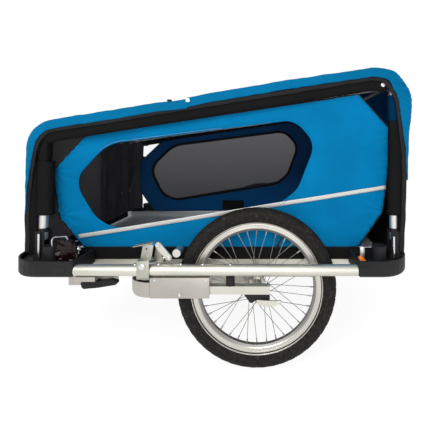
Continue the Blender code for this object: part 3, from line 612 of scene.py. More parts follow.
def upright_sleeve(name, body, side, low, high, half_size, material):
    """A sleeve of cloth round one leg of a hoop."""
    rows = []
    steps = 30
    half_width, half_depth = half_size
    for i in range(steps + 1):
        t = i / steps
        x = low[0] + (high[0] - low[0]) * t
        z = low[1] + (high[1] - low[1]) * t
        hem = 1.03 if t < 0.06 or t > 0.94 else 1.0
        row = []
        for k in range(32):
            angle = 2 * math.pi * k / 32
            fold = hem + 0.05 * math.sin(3 * angle + 9 * t) * ripple(x, side, z, 0.03)
            fold += 0.05 * ripple(3 * math.cos(angle), side, 30 * z, 1.0)
            cx, cy = math.cos(angle), math.sin(angle)
            px = x + half_width * fold * math.copysign(abs(cx) ** 0.55, cx)
            py = side * 0.3415 + half_depth * fold * math.copysign(abs(cy) ** 0.7, cy)
            row.append((px, py, z))
        rows.append(row)
    placed(thicken(grid(name, rows, material, loop_columns=True), 0.0012), body)


def reach_from(centre, direction, outline):
    """Distance from the centre to the outline along a direction."""
    best = None
    for a, b in zip(outline, outline[1:] + outline[:1]):
        edge = b - a
        cross = direction.x * edge.y - direction.y * edge.x
        if abs(cross) < 1e-12:
            continue
        gap = a - centre
        distance = (gap.x * edge.y - gap.y * edge.x) / cross
        share = (gap.x * direction.y - gap.y * direction.x) / cross
        if distance > 0 and -1e-9 <= share <= 1 + 1e-9:
            best = distance if best is None else min(best, distance)
    return best


def on_panel(side, x, z, out):
    """A point of the leaning side panel, or a little way out from it."""
    return Vector((x, side * (PANEL_BOTTOM[0] + PANEL_LEAN * (z - PANEL_BOTTOM[1]) + out), z))


def panel_swell(x, z, edge, along):
    """How far the cloth stands off its flat plane: soft waves, with puckers along the sewn edge."""
    wave = 0.0022 * ripple(x, 0.3, z, 0.16) + 0.001 * ripple(x, 0.9, z, 0.05)
    gather = math.sin(2 * math.pi * along / 0.031 + 4 * ripple(x, 0, z, 0.08))
    pucker = 0.0012 * math.exp(-edge / 0.018) * gather
    pucker *= 0.35 + 0.65 * smooth_step(abs(x - 0.02), 0.4, 0.52)
    corner = 0.0
    for cx, cz in ((-0.527, 0.62), (-0.512, 0.475), (0.578, 0.74), (0.553, 0.49)):
        reach = math.hypot(x - cx, z - cz)
        bearing = math.atan2(z - cz, x - cx)
        corner += 0.003 * math.exp(-reach / 0.04) * math.sin(9 * bearing + 2)
    return wave + pucker + corner


def side_panels():
    """The side panels, sewn round their windows, and what is sewn on them."""
    outline = rounded(PANEL_OUTLINE, PANEL_ROUND, 6)
    opening = rounded(WINDOW_OUTLINE, WINDOW_ROUND, 10)
    centre = Vector(PANEL_CENTRE)
    turns = 620
    bands = 22
    rays = []
    for i in range(turns):
        angle = 2 * math.pi * i / turns
        heading = Vector((1.9 * math.cos(angle), math.sin(angle))).normalized()
        rays.append((heading, reach_from(centre, heading, outline), reach_from(centre, heading, opening)))
    for side, hand in SIDES:
        rows = []
        along = 0.0
        last = None
        for heading, far, near in rays:
            rim_point = centre + heading * far
            along += (rim_point - last).length if last else 0
            last = rim_point
            row = []
            for k in range(bands + 1):
                share = k / bands
                share = share * share * (3 - 2 * share) * 0.5 + share * 0.5
                distance = near + (far - near) * share
                at = centre + heading * distance
                hem = 0.001 if (distance - near) < 0.007 or (far - distance) < 0.007 else 0.0
                swell = panel_swell(at.x, at.y, far - distance, along)
                row.append(on_panel(side, at.x, at.y, swell + hem - 0.001))
            rows.append(row)
        panel = grid(f"side_panel_cloth_{hand}", rows, BLUE, NAVY, loop_rows=True)
        thicken(panel, 0.0014, -1.0, 1)
        face_outwards(panel, Vector((0, side, 0)))
        soft(panel, f"side_panel_{hand}")
        trim(side, hand, outline, opening)
        window(side, hand, opening, centre)
        tape_strip(side, hand)


def face_outwards(obj, out):
    """Turns a sheet so that its first material faces out, away from the cabin."""
    if sum(polygon.normal.dot(out) * polygon.area for polygon in obj.data.polygons) < 0:
        obj.data.flip_normals()


def trim(side, hand, outline, opening):
    """Piping on the panel's edges, tape inside the window and stitching round it."""
    for name, line, pitch, out, radius, material in (
        ("panel_piping", outline, 0.012, 0.0002, 0.0021, BINDING),
        ("window_piping", opening, 0.01, -0.0012, 0.0009, BLUE),
    ):
        points = [on_panel(side, *p, out) for p in resampled(line, pitch, closed=True)]
        soft(wire(f"{name}_{hand}", points, radius, material, closed=True))
    fine = resampled(opening, 0.008, closed=True)
    rows = []
    for i, p in enumerate(fine):
        out = inward(fine, i, closed=True)
        rows.append([on_panel(side, *(p + out * d), -0.005) for d in (-0.0005, 0.004, 0.008, 0.012)])
    soft(thicken(grid(f"window_tape_{hand}", rows, BLACK, loop_rows=True), 0.001))
    stitches(f"window_stitches_{hand}", side, opening, 0.003, 0.0052, THREAD, 0.69, 0.02)
    stitches(f"window_hem_stitches_{hand}", side, opening, 0.0068, 0.0052, BLUE)
    stitches(f"panel_stitches_{hand}", side, outline, -0.0075, 0.0062, BLUE)


def stitches(name, side, outline, offset, pitch, material, above=0.0, before=1.0):
    """Thread dashes beside an outline of the panel, where it lies above a height and before an X."""
    line = resampled(outline, pitch, closed=True)
    bm = bmesh.new()
    for i, p in enumerate(line):
        out = inward(line, i, closed=True)
        at = p + out * offset
        if at.y < above or at.x > before:
            continue
        along = Vector((-out.y, out.x))
        swell = panel_swell(at.x, at.y, 0.0075, 0.0) * 0.6
        height = 0.0016 + max(0, swell)
        low = []
        for way in (1, -1):
            for shift in (0.0004, -0.0004):
                flat = at + (out * shift - along * pitch * 0.31) * way
                low.append(bm.verts.new(on_panel(side, *flat, height)))
        peak = bm.verts.new(on_panel(side, *at, height + 0.0007))
        for k in range(4):
            bm.faces.new((low[k], low[(k + 1) % 4], peak))
        bm.faces.new(low[::-1])
    soft(from_bmesh(name, bm, material))


def window(side, hand, opening, centre):
    """The mesh window, held inside the panel and very slightly bowed."""
    fine = resampled(opening, 0.012, closed=True)
    rows = []
    for share in (0.0, 0.12, 0.25, 0.4, 0.55, 0.7, 0.82, 0.92, 1.008):
        ring = [centre + (p - centre) * share for p in fine]
        bow = 0.0035 * (1 - share ** 2) - 0.0032
        rows.append([on_panel(side, *at, bow + 0.0015 * ripple(at.x, 2, at.y, 0.12)) for at in ring])
    bm = bmesh.new()
    hub = bm.verts.new(rows[0][0])
    rings = [[bm.verts.new(p) for p in row] for row in rows[1:]]
    count = len(fine)
    for j in range(count):
        k = (j + 1) % count
        bm.faces.new((hub, rings[0][j], rings[0][k]))
        for a, b in zip(rings, rings[1:]):
            bm.faces.new((a[j], b[j], b[k], a[k]))
    pane = from_bmesh(f"window_gauze_{hand}", bm, OPEN_GAUZE if side < 0 else DENSE_GAUZE)
    soft(pane, f"window_mesh_{hand}")


def tape_strip(side, hand):
    """Reflective tape, rising towards the rear."""
    start, end = (Vector(p) for p in STRIP_ENDS)
    up = Vector((start.y - end.y, end.x - start.x)).normalized() * STRIP_WIDTH / 2
    rows = []
    for i in range(121):
        places = [start.lerp(end, i / 120) + up * k for k in (-1, -0.4, 0.4, 1)]
        rows.append([on_panel(side, *p, 0.0016 + panel_swell(*p, 0.05, 0)) for p in places])
    soft(thicken(grid(f"reflective_strip_{hand}", rows, TAPE), 0.0006))


def end_walls():
    """Front and rear walls: sewn cloth that bows a little, carried on under the cover at the front."""
    front = rounded(((-0.571, 0.3655), (-0.571, 0.7625), (-0.4, 0.786)), (0, 0.075, 0), 12, closed=False)
    rear = ((0.602, 0.349), (0.602, 0.72))
    for name, corners, out, inside, area in (
        ("front_wall", front, -1, CHARCOAL, 0.3707),
        ("rear_wall", rear, 1, BLACK, 0.2416),
    ):
        line = resampled(corners, WALL_STEP)
        rows = []
        for i, at in enumerate(line):
            normal = -out * inward(line, i)
            half = WALL_FOOT_HALF if at.y < 0.363 else WALL_HALF
            row = []
            for j in range(61):
                y = half * (j / 30 - 1)
                gaps = (abs(y) - 0.2, at.y - 0.702, at.y - 0.47)
                seam = sum(math.exp(-(gap / 0.004) ** 2) for gap in gaps)
                bow = 0.004 * math.cos(math.pi * y / (2 * half)) + 0.003 * ripple(at.x, y, at.y, 0.09)
                place = at - normal * (bow - 0.0022 * seam - 0.002)
                row.append((place.x, y, place.y))
            rows.append(row)
        sheet = thicken(grid(f"{name}_cloth", rows, BLACK, inside), 0.0016, -1.0, 1)
        face_outwards(sheet, Vector((out, 0, 0)))
        soft(sheet, name)
    front_flap()
    inner_pocket()


def inner_pocket():
    """The small black pocket inside the right panel."""
    rows = []
    heights = span(0.37, 0.42, 6)
    for x in span(-0.072, 0.04, 10):
        rows.append([on_panel(1, x, z, -0.006 - 0.002 * ripple(x, 0, z, 0.02)) for z in heights])
    soft(thicken(grid("inner_pocket", rows, BLACK), 0.0012))


def front_flap():
    """The crumpled inner flap that hangs at the front of the cabin."""
    rows = []
    for z in span(0.372, 0.735, 60):
        row = []
        for y in span(0.012, 0.312, 54):
            crumple = 0.011 * ripple(y * 1.4, 3, z * 0.8, 0.07) + 0.005 * abs(ripple(y, 7, z, 0.03))
            crumple += 0.004 * math.sin(60 * y)
            row.append((-0.56 + crumple * smooth_step(0.312 - y, 0, 0.03), y, z))
        for k in range(1, 8):
            y = 0.312 + 0.011 * math.sin(math.pi / 2 * k / 7) + 0.001 * ripple(z, 0, k, 0.03)
            row.append((-0.56 + 0.042 * k / 7, y, z))
        rows.append(row)
    flap = thicken(grid("front_flap", rows, FLAP, angle=35), 0.0012)
    soft(flap)


def floor_pieces():
    """The tub, the mat and the rods along the mat's edges."""
    floor_tub()
    floor_mat()
    for side, hand in SIDES:
        line = [(x, side * 0.286, 0.362) for x in span(-0.5, 0.5, 20)]
        placed(wire(f"floor_edging_{hand}", line, 0.003, SATIN), CHASSIS)


def floor_tub():
    """The cloth tub with its bound edge."""
    low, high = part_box("floor_tub")
    corners = ((low.x, low.y), (high.x, low.y), (high.x, high.y), (low.x, high.y))
    line = resampled(rounded(corners, (0.02,) * 4, 6), 0.012, closed=True)
    section = ((0, 0.01), (0, 0.002), (0.003, 0.0005), (0.012, 0.001), (0.024, 0.0012), (0.033, 0.001),
               (0.0375, 0.0015), (0.0375, 0.004), (0.033, 0.0045), (0.018, 0.0045), (0.004, 0.005))
    rows = []
    for i, p in enumerate(line):
        out = inward(line, i, closed=True)
        row = []
        for height, shift in section:
            flat = p - out * (shift + 0.0008 * ripple(p.x, p.y, height * 3, 0.06))
            row.append((flat.x, flat.y, low.z + height))
        rows.append(row)
    placed(grid("tub_band", rows, BLACK, loop_rows=True), CHASSIS, "floor_tub")
    rows = []
    for x in span(low.x + 0.004, high.x - 0.004, 60):
        ys = span(low.y + 0.004, high.y - 0.004, 30)
        rows.append([(x, y, low.z + 0.0016 + 0.0004 * ripple(x, y, 0, 0.05)) for y in ys])
    placed(thicken(grid("tub_base", rows, BLACK), 0.0018), CHASSIS)


def floor_mat():
    """The ribbed mat, turned up along the tub's sides."""
    low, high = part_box("floor_mat")
    rows = []
    edge = high.y - 0.0015
    for x in span(low.x, high.x, 170):
        heights = (0.362, 0.356, 0.35, 0.344, 0.338)
        upturn = [(x, edge + 0.0008 * ripple(x, 0, z, 0.04), z) for z in heights]
        row = [(x, -y, z) for _, y, z in upturn]
        for y in span(low.y + 0.004, high.y - 0.004, 60):
            seam = min(abs(x + 0.3), abs(x - 0.22))
            dip = 0.0012 * math.exp(-(seam / 0.004) ** 2)
            row.append((x, y, high.z - dip + 0.0004 * ripple(x, y, 0, 0.05)))
        rows.append(row + upturn[::-1])
    placed(thicken(grid("floor_mat_ribbed", rows, MAT), 0.0026, -1.0), CHASSIS, "floor_mat")


def span(low, high, steps):
    """Evenly spaced values from low to high."""
    return [low + (high - low) * i / steps for i in range(steps + 1)]


# Wheels


def tyre(side, hand):
    """Touring tyre: a rounded carcass with rows of slanted tread cuts and a reflective line by the rim."""
    x, z = AXLE
    around = 480
    cuts = 96
    rows = []
    profile = tyre_profile()
    for i in range(around):
        angle = 2 * math.pi * i / around
        row = []
        for r, offset, tread in profile:
            slant = math.sin(cuts * angle + offset * 300)
            slant *= math.sin(cuts / 2 * angle - abs(offset) * 260)
            band = math.cos(abs(offset) * 620)
            groove = 0.0014 * tread * (smooth_step(slant, 0.1, 0.45) + 0.8 * smooth_step(band, 0.75, 0.95))
            radius = r - min(groove, 0.0017)
            row.append((x + radius * math.cos(angle), side * WHEEL_Y + offset, z + radius * math.sin(angle)))
        rows.append(row)
    body = grid(f"tyre_tread_{hand}", rows, RUBBER, loop_rows=True, loop_columns=True, angle=24)
    placed(body, f"wheel_{hand}", f"tyre_{hand}")
    bm = bmesh.new()
    section = ((0.2058, 0.0148), (0.2074, 0.0168), (0.2084, 0.0169), (0.208, 0.014))
    for wall in (-1, 1):
        lathe(bm, [(r, wall * offset) for r, offset in section], (x, side * WHEEL_Y, z), 160, closed=True)
    placed(from_bmesh(f"tyre_reflex_line_{hand}", bm, RIM), f"wheel_{hand}", finish="tyre")


def tyre_profile():
    """(radius, offset, tread share) round the section of the tyre."""
    points = []
    for k in range(33):
        angle = math.radians(-118 + 236 * k / 32)
        r = 0.229 + 0.0248 * math.cos(angle)
        offset = 0.0249 * math.sin(angle) * (1 - 0.18 * max(0, -math.cos(angle)))
        tread = smooth_step(math.cos(angle), 0.0, 0.25)
        points.append((r, offset, tread))
    points += [(0.2085, 0.0153, 0), (0.2045, 0.0131, 0), (0.2045, -0.0131, 0), (0.2085, -0.0153, 0)]
    return points


def rim(side, hand):
    """A hollow rim: a flat braking face between two small ridges, and a well for the tyre."""
    x, z = AXLE
    w = 0.0124
    half = [(0.2005, w - 0.003), (0.204, w - 0.0022), (0.204, w), (0.2032, w + 0.0003), (0.199, w),
            (0.1986, w - 0.0004), (0.1936, w - 0.0004), (0.1932, w - 0.0001), (0.19, w),
            (0.188, w - 0.0022), (0.1822, 0.0065), (0.1808, 0.004)]
    wall = half + [(0.1804, 0)] + [(r, -offset) for r, offset in reversed(half)]
    bm = bmesh.new()
    lathe(bm, wall, (x, side * WHEEL_Y, z), 180, closed=True)
    piece = from_bmesh(f"rim_profile_{hand}", bm, RIM, RIM_SHADED, angle=25)
    # Faces of the inner well, nearer the axle than the braking face, take the darker rim colour: painted
    # shade.
    for polygon in piece.data.polygons:
        away = math.hypot(polygon.center.x - x, polygon.center.z - z)
        polygon.material_index = 1 if away < 0.1875 else 0
    placed(piece, f"wheel_{hand}", f"rim_{hand}")


def spokes(side, hand):
    """Thirty-six laced spokes with nipples, and the valve."""
    x, z = AXLE
    centre = Vector((x, side * WHEEL_Y, z))
    bm = bmesh.new()
    for hole in range(36):
        flange = 1 if hole % 2 else -1
        lean = 1 if hole // 2 % 2 else -1
        tip_angle = 2 * math.pi * hole / 36
        root_angle = tip_angle - lean * math.radians(62)
        root = spoke_end(0.0235, root_angle, flange * (FLANGE_Y + lean * 0.0016))
        tip = spoke_end(0.18, tip_angle, flange * 0.0025)
        add_rod(bm, centre + root, centre + tip, 0.0011, 6)
        head = root - Vector((0, lean * flange * 0.0022, 0))
        add_rod(bm, centre + root, centre + head, 0.0016, 6)
        nipple = tip + (root - tip).normalized() * 0.012
        add_rod(bm, centre + nipple, centre + tip, 0.0021, 8)
    placed(from_bmesh(f"spokes_laced_{hand}", bm, SPOKE_STEEL), f"wheel_{hand}", f"hub_and_spokes_{hand}")
    hub(side, hand, centre)
    heading = spoke_end(1, math.radians(63), 0)
    bm = bmesh.new()
    add_rod(bm, centre + heading * 0.15, centre + heading * 0.1806, 0.003, 10)
    add_rod(bm, centre + heading * 0.14, centre + heading * 0.151, 0.0042, 10)
    placed(from_bmesh(f"valve_{hand}", bm, ELASTOMER), f"wheel_{hand}")


def spoke_end(radius, angle, offset):
    """A point of the wheel, seen from its centre."""
    return Vector((radius * math.cos(angle), offset, radius * math.sin(angle)))


def hub(side, hand, centre):
    """A turned hub with a flange at each end."""
    inner, outer = (side * (y - WHEEL_Y) for y in (0.3128, 0.3852))
    flange = ((0.0128, -0.014), (0.015, -0.006), (0.0258, -0.0022), (0.027, -0.0012),
              (0.027, 0.0012), (0.026, 0.0022), (0.01, 0.003))
    ends = [(r, side * (FLANGE_Y + offset)) for r, offset in flange]
    profile = [(0.0066, inner), (0.0095, inner)] + [(r, -offset) for r, offset in reversed(ends)]
    profile += ends + [(0.0095, outer), (0.0066, outer)]
    bm = bmesh.new()
    lathe(bm, profile, centre, 40)
    placed(from_bmesh(f"hub_shell_{hand}", bm, RIM, angle=28), f"wheel_{hand}", finish="steel")


def add_rod(bm, start, end, radius, segments=12):
    """Adds a straight round rod to bm."""
    way = end - start
    turn = way.to_track_quat("Z", "Y").to_matrix().to_4x4()
    place = Matrix.Translation((start + end) / 2) @ turn
    bmesh.ops.create_cone(bm, cap_ends=True, segments=segments, radius1=radius, radius2=radius,
                          depth=way.length, matrix=place)


# Hardware


def domed(bm, centre, radius, height, side=0):
    """A dome head, such as a rivet's: on top of its piece, or on the outer face where a side is given."""
    profile = [(radius, 0), (radius, 0.12 * height)]
    for k in range(1, 7):
        angle = math.pi / 2 * k / 6.3
        profile.append((radius * math.cos(angle), height * (0.12 + 0.88 * math.sin(angle))))
    lathe(bm, [(r, (side or 1) * offset) for r, offset in profile], centre, 18, "Y" if side else "Z")


def hex_head(bm, centre, radius, height, side):
    """A hexagonal bolt head on the outer face of its piece."""
    profile = ((radius * 0.55, 0), (radius, 0), (radius, side * height * 0.8), (radius * 0.86, side * height))
    lathe(bm, profile, centre, 6)


def one_plate(name, side, outline, y_span, bevel, material, body, *nodes):
    """A piece that is a single plate."""
    bm = bmesh.new()
    plate(bm, side, outline, y_span, bevel)
    return finish_bmesh(name, bm, material, body, *nodes)


def one_slab(name, side, x_span, y_span, z_span, bevel, material):
    """A piece of the chassis that is a single block."""
    bm = bmesh.new()
    slab(bm, side, x_span, y_span, z_span, bevel)
    return finish_bmesh(name, bm, material, CHASSIS)


def one_turned(name, profile, centre, segments, material, body, axis="Y"):
    """A piece that is a single turned shape."""
    bm = bmesh.new()
    lathe(bm, profile, centre, segments, axis)
    return finish_bmesh(name, bm, material, body)


def finish_bmesh(name, bm, material, body, *nodes, finish=None):
    """The piece of hardware that bm holds."""
    return placed(from_bmesh(name, bm, material, angle=35), body, *nodes, finish=finish)


def slab(bm, side, x_span, y_span, z_span, bevel=0.0006):
    """A block with softened edges; its Y span is that of the right-hand side."""
    made = bmesh.ops.create_cube(bm, size=1)["verts"]
    spans = [sorted(s) for s in (x_span, [side * y for y in y_span], z_span)]
    bmesh.ops.scale(bm, vec=[b - a for a, b in spans], verts=made)
    bmesh.ops.translate(bm, vec=[(a + b) / 2 for a, b in spans], verts=made)
    soften(bm, {e for v in made for e in v.link_edges}, bevel)


def plate(bm, side, outline, y_span, bevel=0.0006):
    """A plate with an XZ outline and softened edges."""
    near, far = (side * y for y in y_span)
    low = [bm.verts.new((x, near, z)) for x, z in outline]
    high = [bm.verts.new((x, far, z)) for x, z in outline]
    count = len(outline)
    faces = [bm.faces.new(low), bm.faces.new(high[::-1])]
    for i in range(count):
        j = (i + 1) % count
        faces.append(bm.faces.new((low[j], low[i], high[i], high[j])))
    soften(bm, {e for f in faces for e in f.edges}, bevel)


def soften(bm, edges, bevel):
    bmesh.ops.bevel(bm, geom=list(edges), offset=bevel, segments=2, affect="EDGES", profile=0.5)


def rail_hardware():
    """Rivets along the outer rails and bolts on the housings, then the parts round them."""
    for side, hand in SIDES:
        bm = bmesh.new()
        for x in (-0.224, -0.153, -0.086, -0.02, 0.063):
            domed(bm, (x, side * RAIL_Y, RAIL_Z + RAIL_RADIUS - 0.0004), 0.006, 0.0045)
        finish_bmesh(f"rail_rivets_{hand}", bm, STEEL, CHASSIS)
        bm = bmesh.new()
        face = side * HOUSING_FACE_Y
        hex_head(bm, (-0.085, face, 0.262), 0.005, 0.003, side)
        for x in (-0.16, -0.008):
            domed(bm, (x, face, 0.304), 0.003, 0.0012, side)
        finish_bmesh(f"housing_bolts_{hand}", bm, STEEL, CHASSIS)
        clamp_bracket(side, hand)
        housing(side, hand)
        toggle_parts(side, hand)
        axle_parts(side, hand)
        inner_arm(side, hand)
        corner_parts(side, hand)
        reflectors(side, hand)
    drawbar_grip()


def clamp_bracket(side, hand):
    """The bent clamp that holds the wheel unit on the rail, with its bolt and top tab."""
    bm = bmesh.new()
    slab(bm, side, CLAMP_X, (0.4165, 0.419), (0.3125, 0.363))
    slab(bm, side, CLAMP_X, (0.384, 0.4188), (0.3605, 0.363))
    slab(bm, side, CLAMP_X, (0.38, 0.4188), (0.309, 0.3118))
    for outline, y_span in (
        (((-0.211, 0.361), (-0.178, 0.361), (-0.172, 0.402), (-0.204, 0.404)), (0.389, 0.3915)),
        (((-0.179, 0.348), (-0.148, 0.348), (-0.162, 0.39), (-0.17, 0.402)), (0.37, 0.3725)),
        (((-0.233, 0.396), (-0.172, 0.4075), (-0.172, 0.41), (-0.233, 0.3985)), (0.374, 0.396)),
        (((-0.212, 0.344), (-0.145, 0.344), (-0.145, 0.3475), (-0.212, 0.3475)), (0.364, 0.38)),
    ):
        plate(bm, side, outline, y_span)
    # The clamp takes the darker copy of the bright aluminium: painted shade.
    finish_bmesh(f"clamp_bracket_{hand}", bm, SHADED_CLAMP, CHASSIS, f"rail_clamp_{hand}")
    bm = bmesh.new()
    hex_head(bm, (-0.1955, side * 0.419, 0.347), 0.0095, 0.0032, side)
    domed(bm, (-0.1955, side * 0.422, 0.347), 0.0052, 0.0014, side)
    domed(bm, (-0.148, side * 0.3725, 0.355), 0.0048, 0.003, side)
    finish_bmesh(f"clamp_bolts_{hand}", bm, STEEL, CHASSIS)
    # A thin black disc on the upright plate stands for the plate's hole: painted shade.
    bm = bmesh.new()
    domed(bm, (-0.193, side * 0.3915, 0.39), 0.0028, 0.0003, side)
    finish_bmesh(f"clamp_hole_painted_shade_{hand}", bm, PLASTIC, CHASSIS)


def housing(side, hand):
    """The pressed housing of the swing arm: two walls, a top, and a rounded nose that is open above."""
    bm = bmesh.new()
    for y_span in ((0.384, 0.387), (0.412, HOUSING_FACE_Y)):
        slab(bm, side, HOUSING_X, y_span, (0.251, 0.3115), 0.0007)
    slab(bm, side, HOUSING_X, (0.385, 0.414), (0.3088, 0.3115), 0.0005)
    finish_bmesh(f"housing_walls_{hand}", bm, SATIN_PLATE, CHASSIS, f"swing_housing_{hand}")
    profile = ((0.02, 0.2465), (0.038, 0.2472), (0.0465, 0.2515), (0.0495, 0.26), (0.05, 0.27),
               (0.05, 0.2975), (0.0478, 0.2975), (0.0478, 0.27), (0.0472, 0.2615), (0.044, 0.2545),
               (0.037, 0.25), (0.02, 0.2492))
    rows = []
    for i in range(25):
        angle = math.pi / 2 + math.pi * i / 24
        along, out = 1.42 * math.cos(angle), math.sin(angle)
        rows.append([(-0.1745 + r * along, side * (0.3645 + r * out), z) for r, z in profile])
    placed(grid(f"housing_nose_{hand}", rows, SATIN_PLATE, loop_columns=True, angle=35), CHASSIS)


def toggle_parts(side, hand):
    """The toggle link's bolts, and the end of the tube behind it."""
    bm = bmesh.new()
    hex_head(bm, (-0.1595, side * 0.3878, 0.4003), 0.006, 0.004, side)
    domed(bm, (-0.127, side * 0.3885, 0.3616), 0.0062, 0.003, side)
    finish_bmesh(f"toggle_bolts_{hand}", bm, STEEL, f"toggle_{hand}")
    profile = ((0.0125, 0), (0.0125, -side * 0.036), (0.0102, -side * 0.0365), (0.0102, -side * 0.004))
    one_turned(f"tube_end_{hand}", profile, (-0.1055, side * 0.38, 0.3725), 28, SATIN, CHASSIS)


def axle_parts(side, hand):
    """The black axle block under the arm, the axle through the hub, and the curved quick-release lever."""
    arm, lever = f"swing_arm_{hand}", f"axle_lever_{hand}"
    outline = ((0.1035, 0.26), (0.1235, 0.2335), (0.13, 0.2335), (0.14, 0.243), (0.176, 0.239),
               (0.1825, 0.244), (0.1825, 0.26))
    one_plate(f"axle_block_{hand}", side, outline, (0.3878, 0.4075), 0.0012, PLASTIC, arm, f"axle_{hand}")
    x, z = AXLE
    spindle = ((0.0045, side * 0.3), (0.0058, side * 0.301), (0.0058, side * 0.406),
               (0.0045, side * 0.407))
    one_turned(f"axle_spindle_{hand}", spindle, (x, 0, z), 20, STEEL, arm)
    corners = ((0.139, 0.2465), (0.15, 0.23), (0.176, 0.226), (0.205, 0.232), (0.225, 0.2455),
               (0.196, 0.2435))
    curve = rounded(corners, (0.003, 0.012, 0.03, 0.03, 0.003, 0.05), 5)
    one_plate(f"release_lever_{hand}", side, curve, (0.4095, 0.4155), 0.0018, BRIGHT, lever, lever)


def inner_arm(side, hand):
    """The deep inner plate of the swing arm, which holds the axle's far end."""
    corners = ((-0.097, 0.2605), (-0.066, 0.238), (0.153, 0.23), (0.163, 0.24), (0.163, 0.2845),
               (-0.097, 0.2845))
    curve = rounded(corners, (0.01, 0.006, 0.01, 0.006, 0.008, 0.01), 4)
    one_plate(f"inner_arm_{hand}", side, curve, (0.3025, 0.3105), 0.0008, SATIN_PLATE, f"swing_arm_{hand}",
              f"swing_arm_inner_{hand}")


def drawbar_grip():
    """The moulded lever under the drawbar receiver."""
    corners = ((-0.394, 0.29), (-0.389, 0.268), (-0.338, 0.2725), (-0.286, 0.281), (-0.277, 0.293),
               (-0.3, 0.296), (-0.335, 0.2915), (-0.372, 0.2975))
    curve = rounded(corners, (0.004, 0.006, 0.04, 0.008, 0.005, 0.02, 0.04, 0.006), 5)
    one_plate("drawbar_grip", -1, curve, (0.3785, 0.3925), 0.0022, PLASTIC, "drawbar_lever", "drawbar_lever")


def corner_parts(side, hand):
    """Small parts at the corner pieces and along the cover's edge."""
    bm = bmesh.new()
    for x_span in ((-0.46, -0.426), (0.45, 0.474)):
        slab(bm, side, x_span, (0.4146, 0.4158), (0.3275, 0.3425), 0.0005)
    finish_bmesh(f"corner_pads_{hand}", bm, ELASTOMER, CHASSIS, finish="black_plastic")
    corners = ((-0.497, 0.39), (-0.499, 0.418), (-0.455, 0.4215), (-0.448, 0.412))
    hook = rounded(corners, (0, 0.012, 0.006, 0), 5, closed=False)
    placed(wire(f"hook_rod_{hand}", [(p.x, side * 0.368, p.y) for p in hook], 0.0022, STEEL), CHASSIS)
    bm = bmesh.new()
    ball = ((0.0008, -0.009), (0.005, -0.0075), (0.0082, -0.0035), (0.009, 0.0), (0.0082, 0.0035),
            (0.005, 0.0075), (0.0008, 0.009))
    lathe(bm, ball, (-0.416, side * 0.368, 0.384), 20, "Z")
    for x, y, foot, top, radius in (
        (-0.416, 0.368, 0.3605, 0.378, 0.003),
        (-0.5425, 0.3635, 0.352, 0.428, 0.0038),
        (0.5715, 0.3635, 0.352, 0.42, 0.0038),
    ):
        add_rod(bm, Vector((x, side * y, foot)), Vector((x, side * y, top)), radius)
    finish_bmesh(f"corner_steel_{hand}", bm, STEEL, CHASSIS)
    stud = ((0.0044, 0), (0.006, side * 0.0008), (0.006, side * 0.0024), (0.0036, side * 0.004))
    sinks(one_turned(f"cover_stud_{hand}", stud, (0.537, side * 0.364, 0.8945), 24, STEEL, CHASSIS))
    sinks(one_slab(f"cover_buckle_{hand}", side, (-0.0805, -0.0675), (0.36, 0.3715), (0.84, 0.852),
                   0.0015, SATIN))
    sinks(one_slab(f"cover_toggle_{hand}", side, (-0.14, -0.128), (0.35, 0.366), (0.843, 0.85),
                   0.0018, PLASTIC))


def reflectors(side, hand):
    """The faceted red cluster at the front, and the orange wedge with its post at the rear."""
    chance = random.Random(7)
    bm = bmesh.new()
    bmesh.ops.create_cube(bm, size=1)
    bmesh.ops.subdivide_edges(bm, edges=bm.edges[:], cuts=5, use_grid_fill=True)
    for vert in bm.verts:
        bulge = Vector([chance.uniform(-1, 1) for _ in range(3)]) * 0.0042
        x, y, z = vert.co
        pinch = 1 - 0.22 * max(0, abs(2 * z) - 0.5)
        place = (-0.445 + 0.06 * x * pinch, side * (0.369 + 0.02 * y), 0.379 + 0.062 * z - 0.016 * x)
        vert.co = Vector(place) + bulge
    cluster = from_bmesh(f"front_reflector_cells_{hand}", bm, RED, angle=8)
    placed(cluster, CHASSIS, f"front_reflector_{hand}")
    wedge = ((0.447, 0.3458), (0.48, 0.3458), (0.4775, 0.352), (0.466, 0.362), (0.46, 0.362))
    one_plate(f"rear_reflector_wedge_{hand}", side, wedge, (0.37, 0.382), 0.0008, ORANGE, CHASSIS,
              f"rear_reflector_{hand}")
    one_slab(f"rear_reflector_post_{hand}", side, (0.464, 0.479), (0.36, 0.3695), (0.3458, 0.39),
             0.003, SATIN)


# CAD nodes that stay


def dress_cad():
    """Materials for the CAD nodes whose shape is right."""
    slots = {entry["node"]: entry["material_slot"] for entry in frame["record"]["subparts"]}
    painted = ("hoop_bracket", "front_crossbar", "rear_crossbar")
    for name, obj in frame["nodes"].items():
        look = LOOKS[slots[name]][0]
        if name.startswith(painted):
            look = PLASTIC
        elif name == "drawbar_receiver":
            look = SATIN_PLATE
        for material_slot in obj.material_slots:
            material_slot.material = look


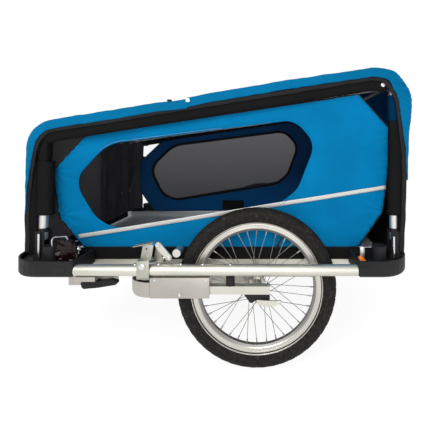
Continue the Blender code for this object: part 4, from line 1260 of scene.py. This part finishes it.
# Stage


def stage():
    """A white floor and backdrop, soft light from all round, and three area lamps."""
    bm = bmesh.new()
    bmesh.ops.create_grid(bm, x_segments=1, y_segments=1, size=30)
    white, _, _ = shader("studio_floor", (0.15, 0.15, 0.15), 0.9, Emission_Strength=0.9)
    from_bmesh("studio_floor", bm, white)
    world = bpy.data.worlds.new("studio")
    world.use_nodes = True
    tree = world.node_tree
    choice = node(tree, "MixShader", Fac=node(tree, "LightPath").outputs["Is Camera Ray"])
    for i, strength in ((1, 0.5), (2, 1.0)):
        light = node(tree, "Background", Color=(1, 1, 1, 1), Strength=strength)
        feed(tree, choice.inputs[i], light.outputs["Background"])
    feed(tree, tree.nodes["World Output"].inputs["Surface"], choice.outputs["Shader"])
    bpy.context.scene.world = world
    bpy.context.scene.view_settings.view_transform = "Standard"
    for name, place, target, size, power in (
        ("key", (-0.9, -3.2, 2.8), (0, 0, 0.5), 2.2, 95),
        ("front", (0.6, -3.4, 1.0), (0, 0, 0.45), 1.6, 22),
        ("top", (0.2, 0.4, 3.6), (0, 0, 0.5), 3.0, 15),
    ):
        data = bpy.data.lights.new(name, "AREA")
        data.size = size
        data.energy = power
        lamp = bpy.data.objects.new(name, data)
        bpy.context.scene.collection.objects.link(lamp)
        lamp.location = place
        lamp.rotation_euler = (Vector(target) - Vector(place)).to_track_quat("-Z", "Y").to_euler()


def camera():
    """The main view, level and from the left."""
    data = bpy.data.cameras.new("camera")
    data.sensor_width = 36.0
    data.lens = 24.45
    data.shift_x = -0.128
    data.shift_y = -0.151
    obj = bpy.data.objects.new("camera", data)
    bpy.context.scene.collection.objects.link(obj)
    obj.location = (0.183, -1.28, 0.691)
    obj.rotation_euler = (math.radians(90), 0, 0)
    bpy.context.scene.camera = obj


camera()
stage()
dress_cad()
covers()
frame_sleeves()
side_panels()
end_walls()
floor_pieces()
for side_sign, side_name in SIDES:
    tyre(side_sign, side_name)
    rim(side_sign, side_name)
    spokes(side_sign, side_name)
rail_hardware()
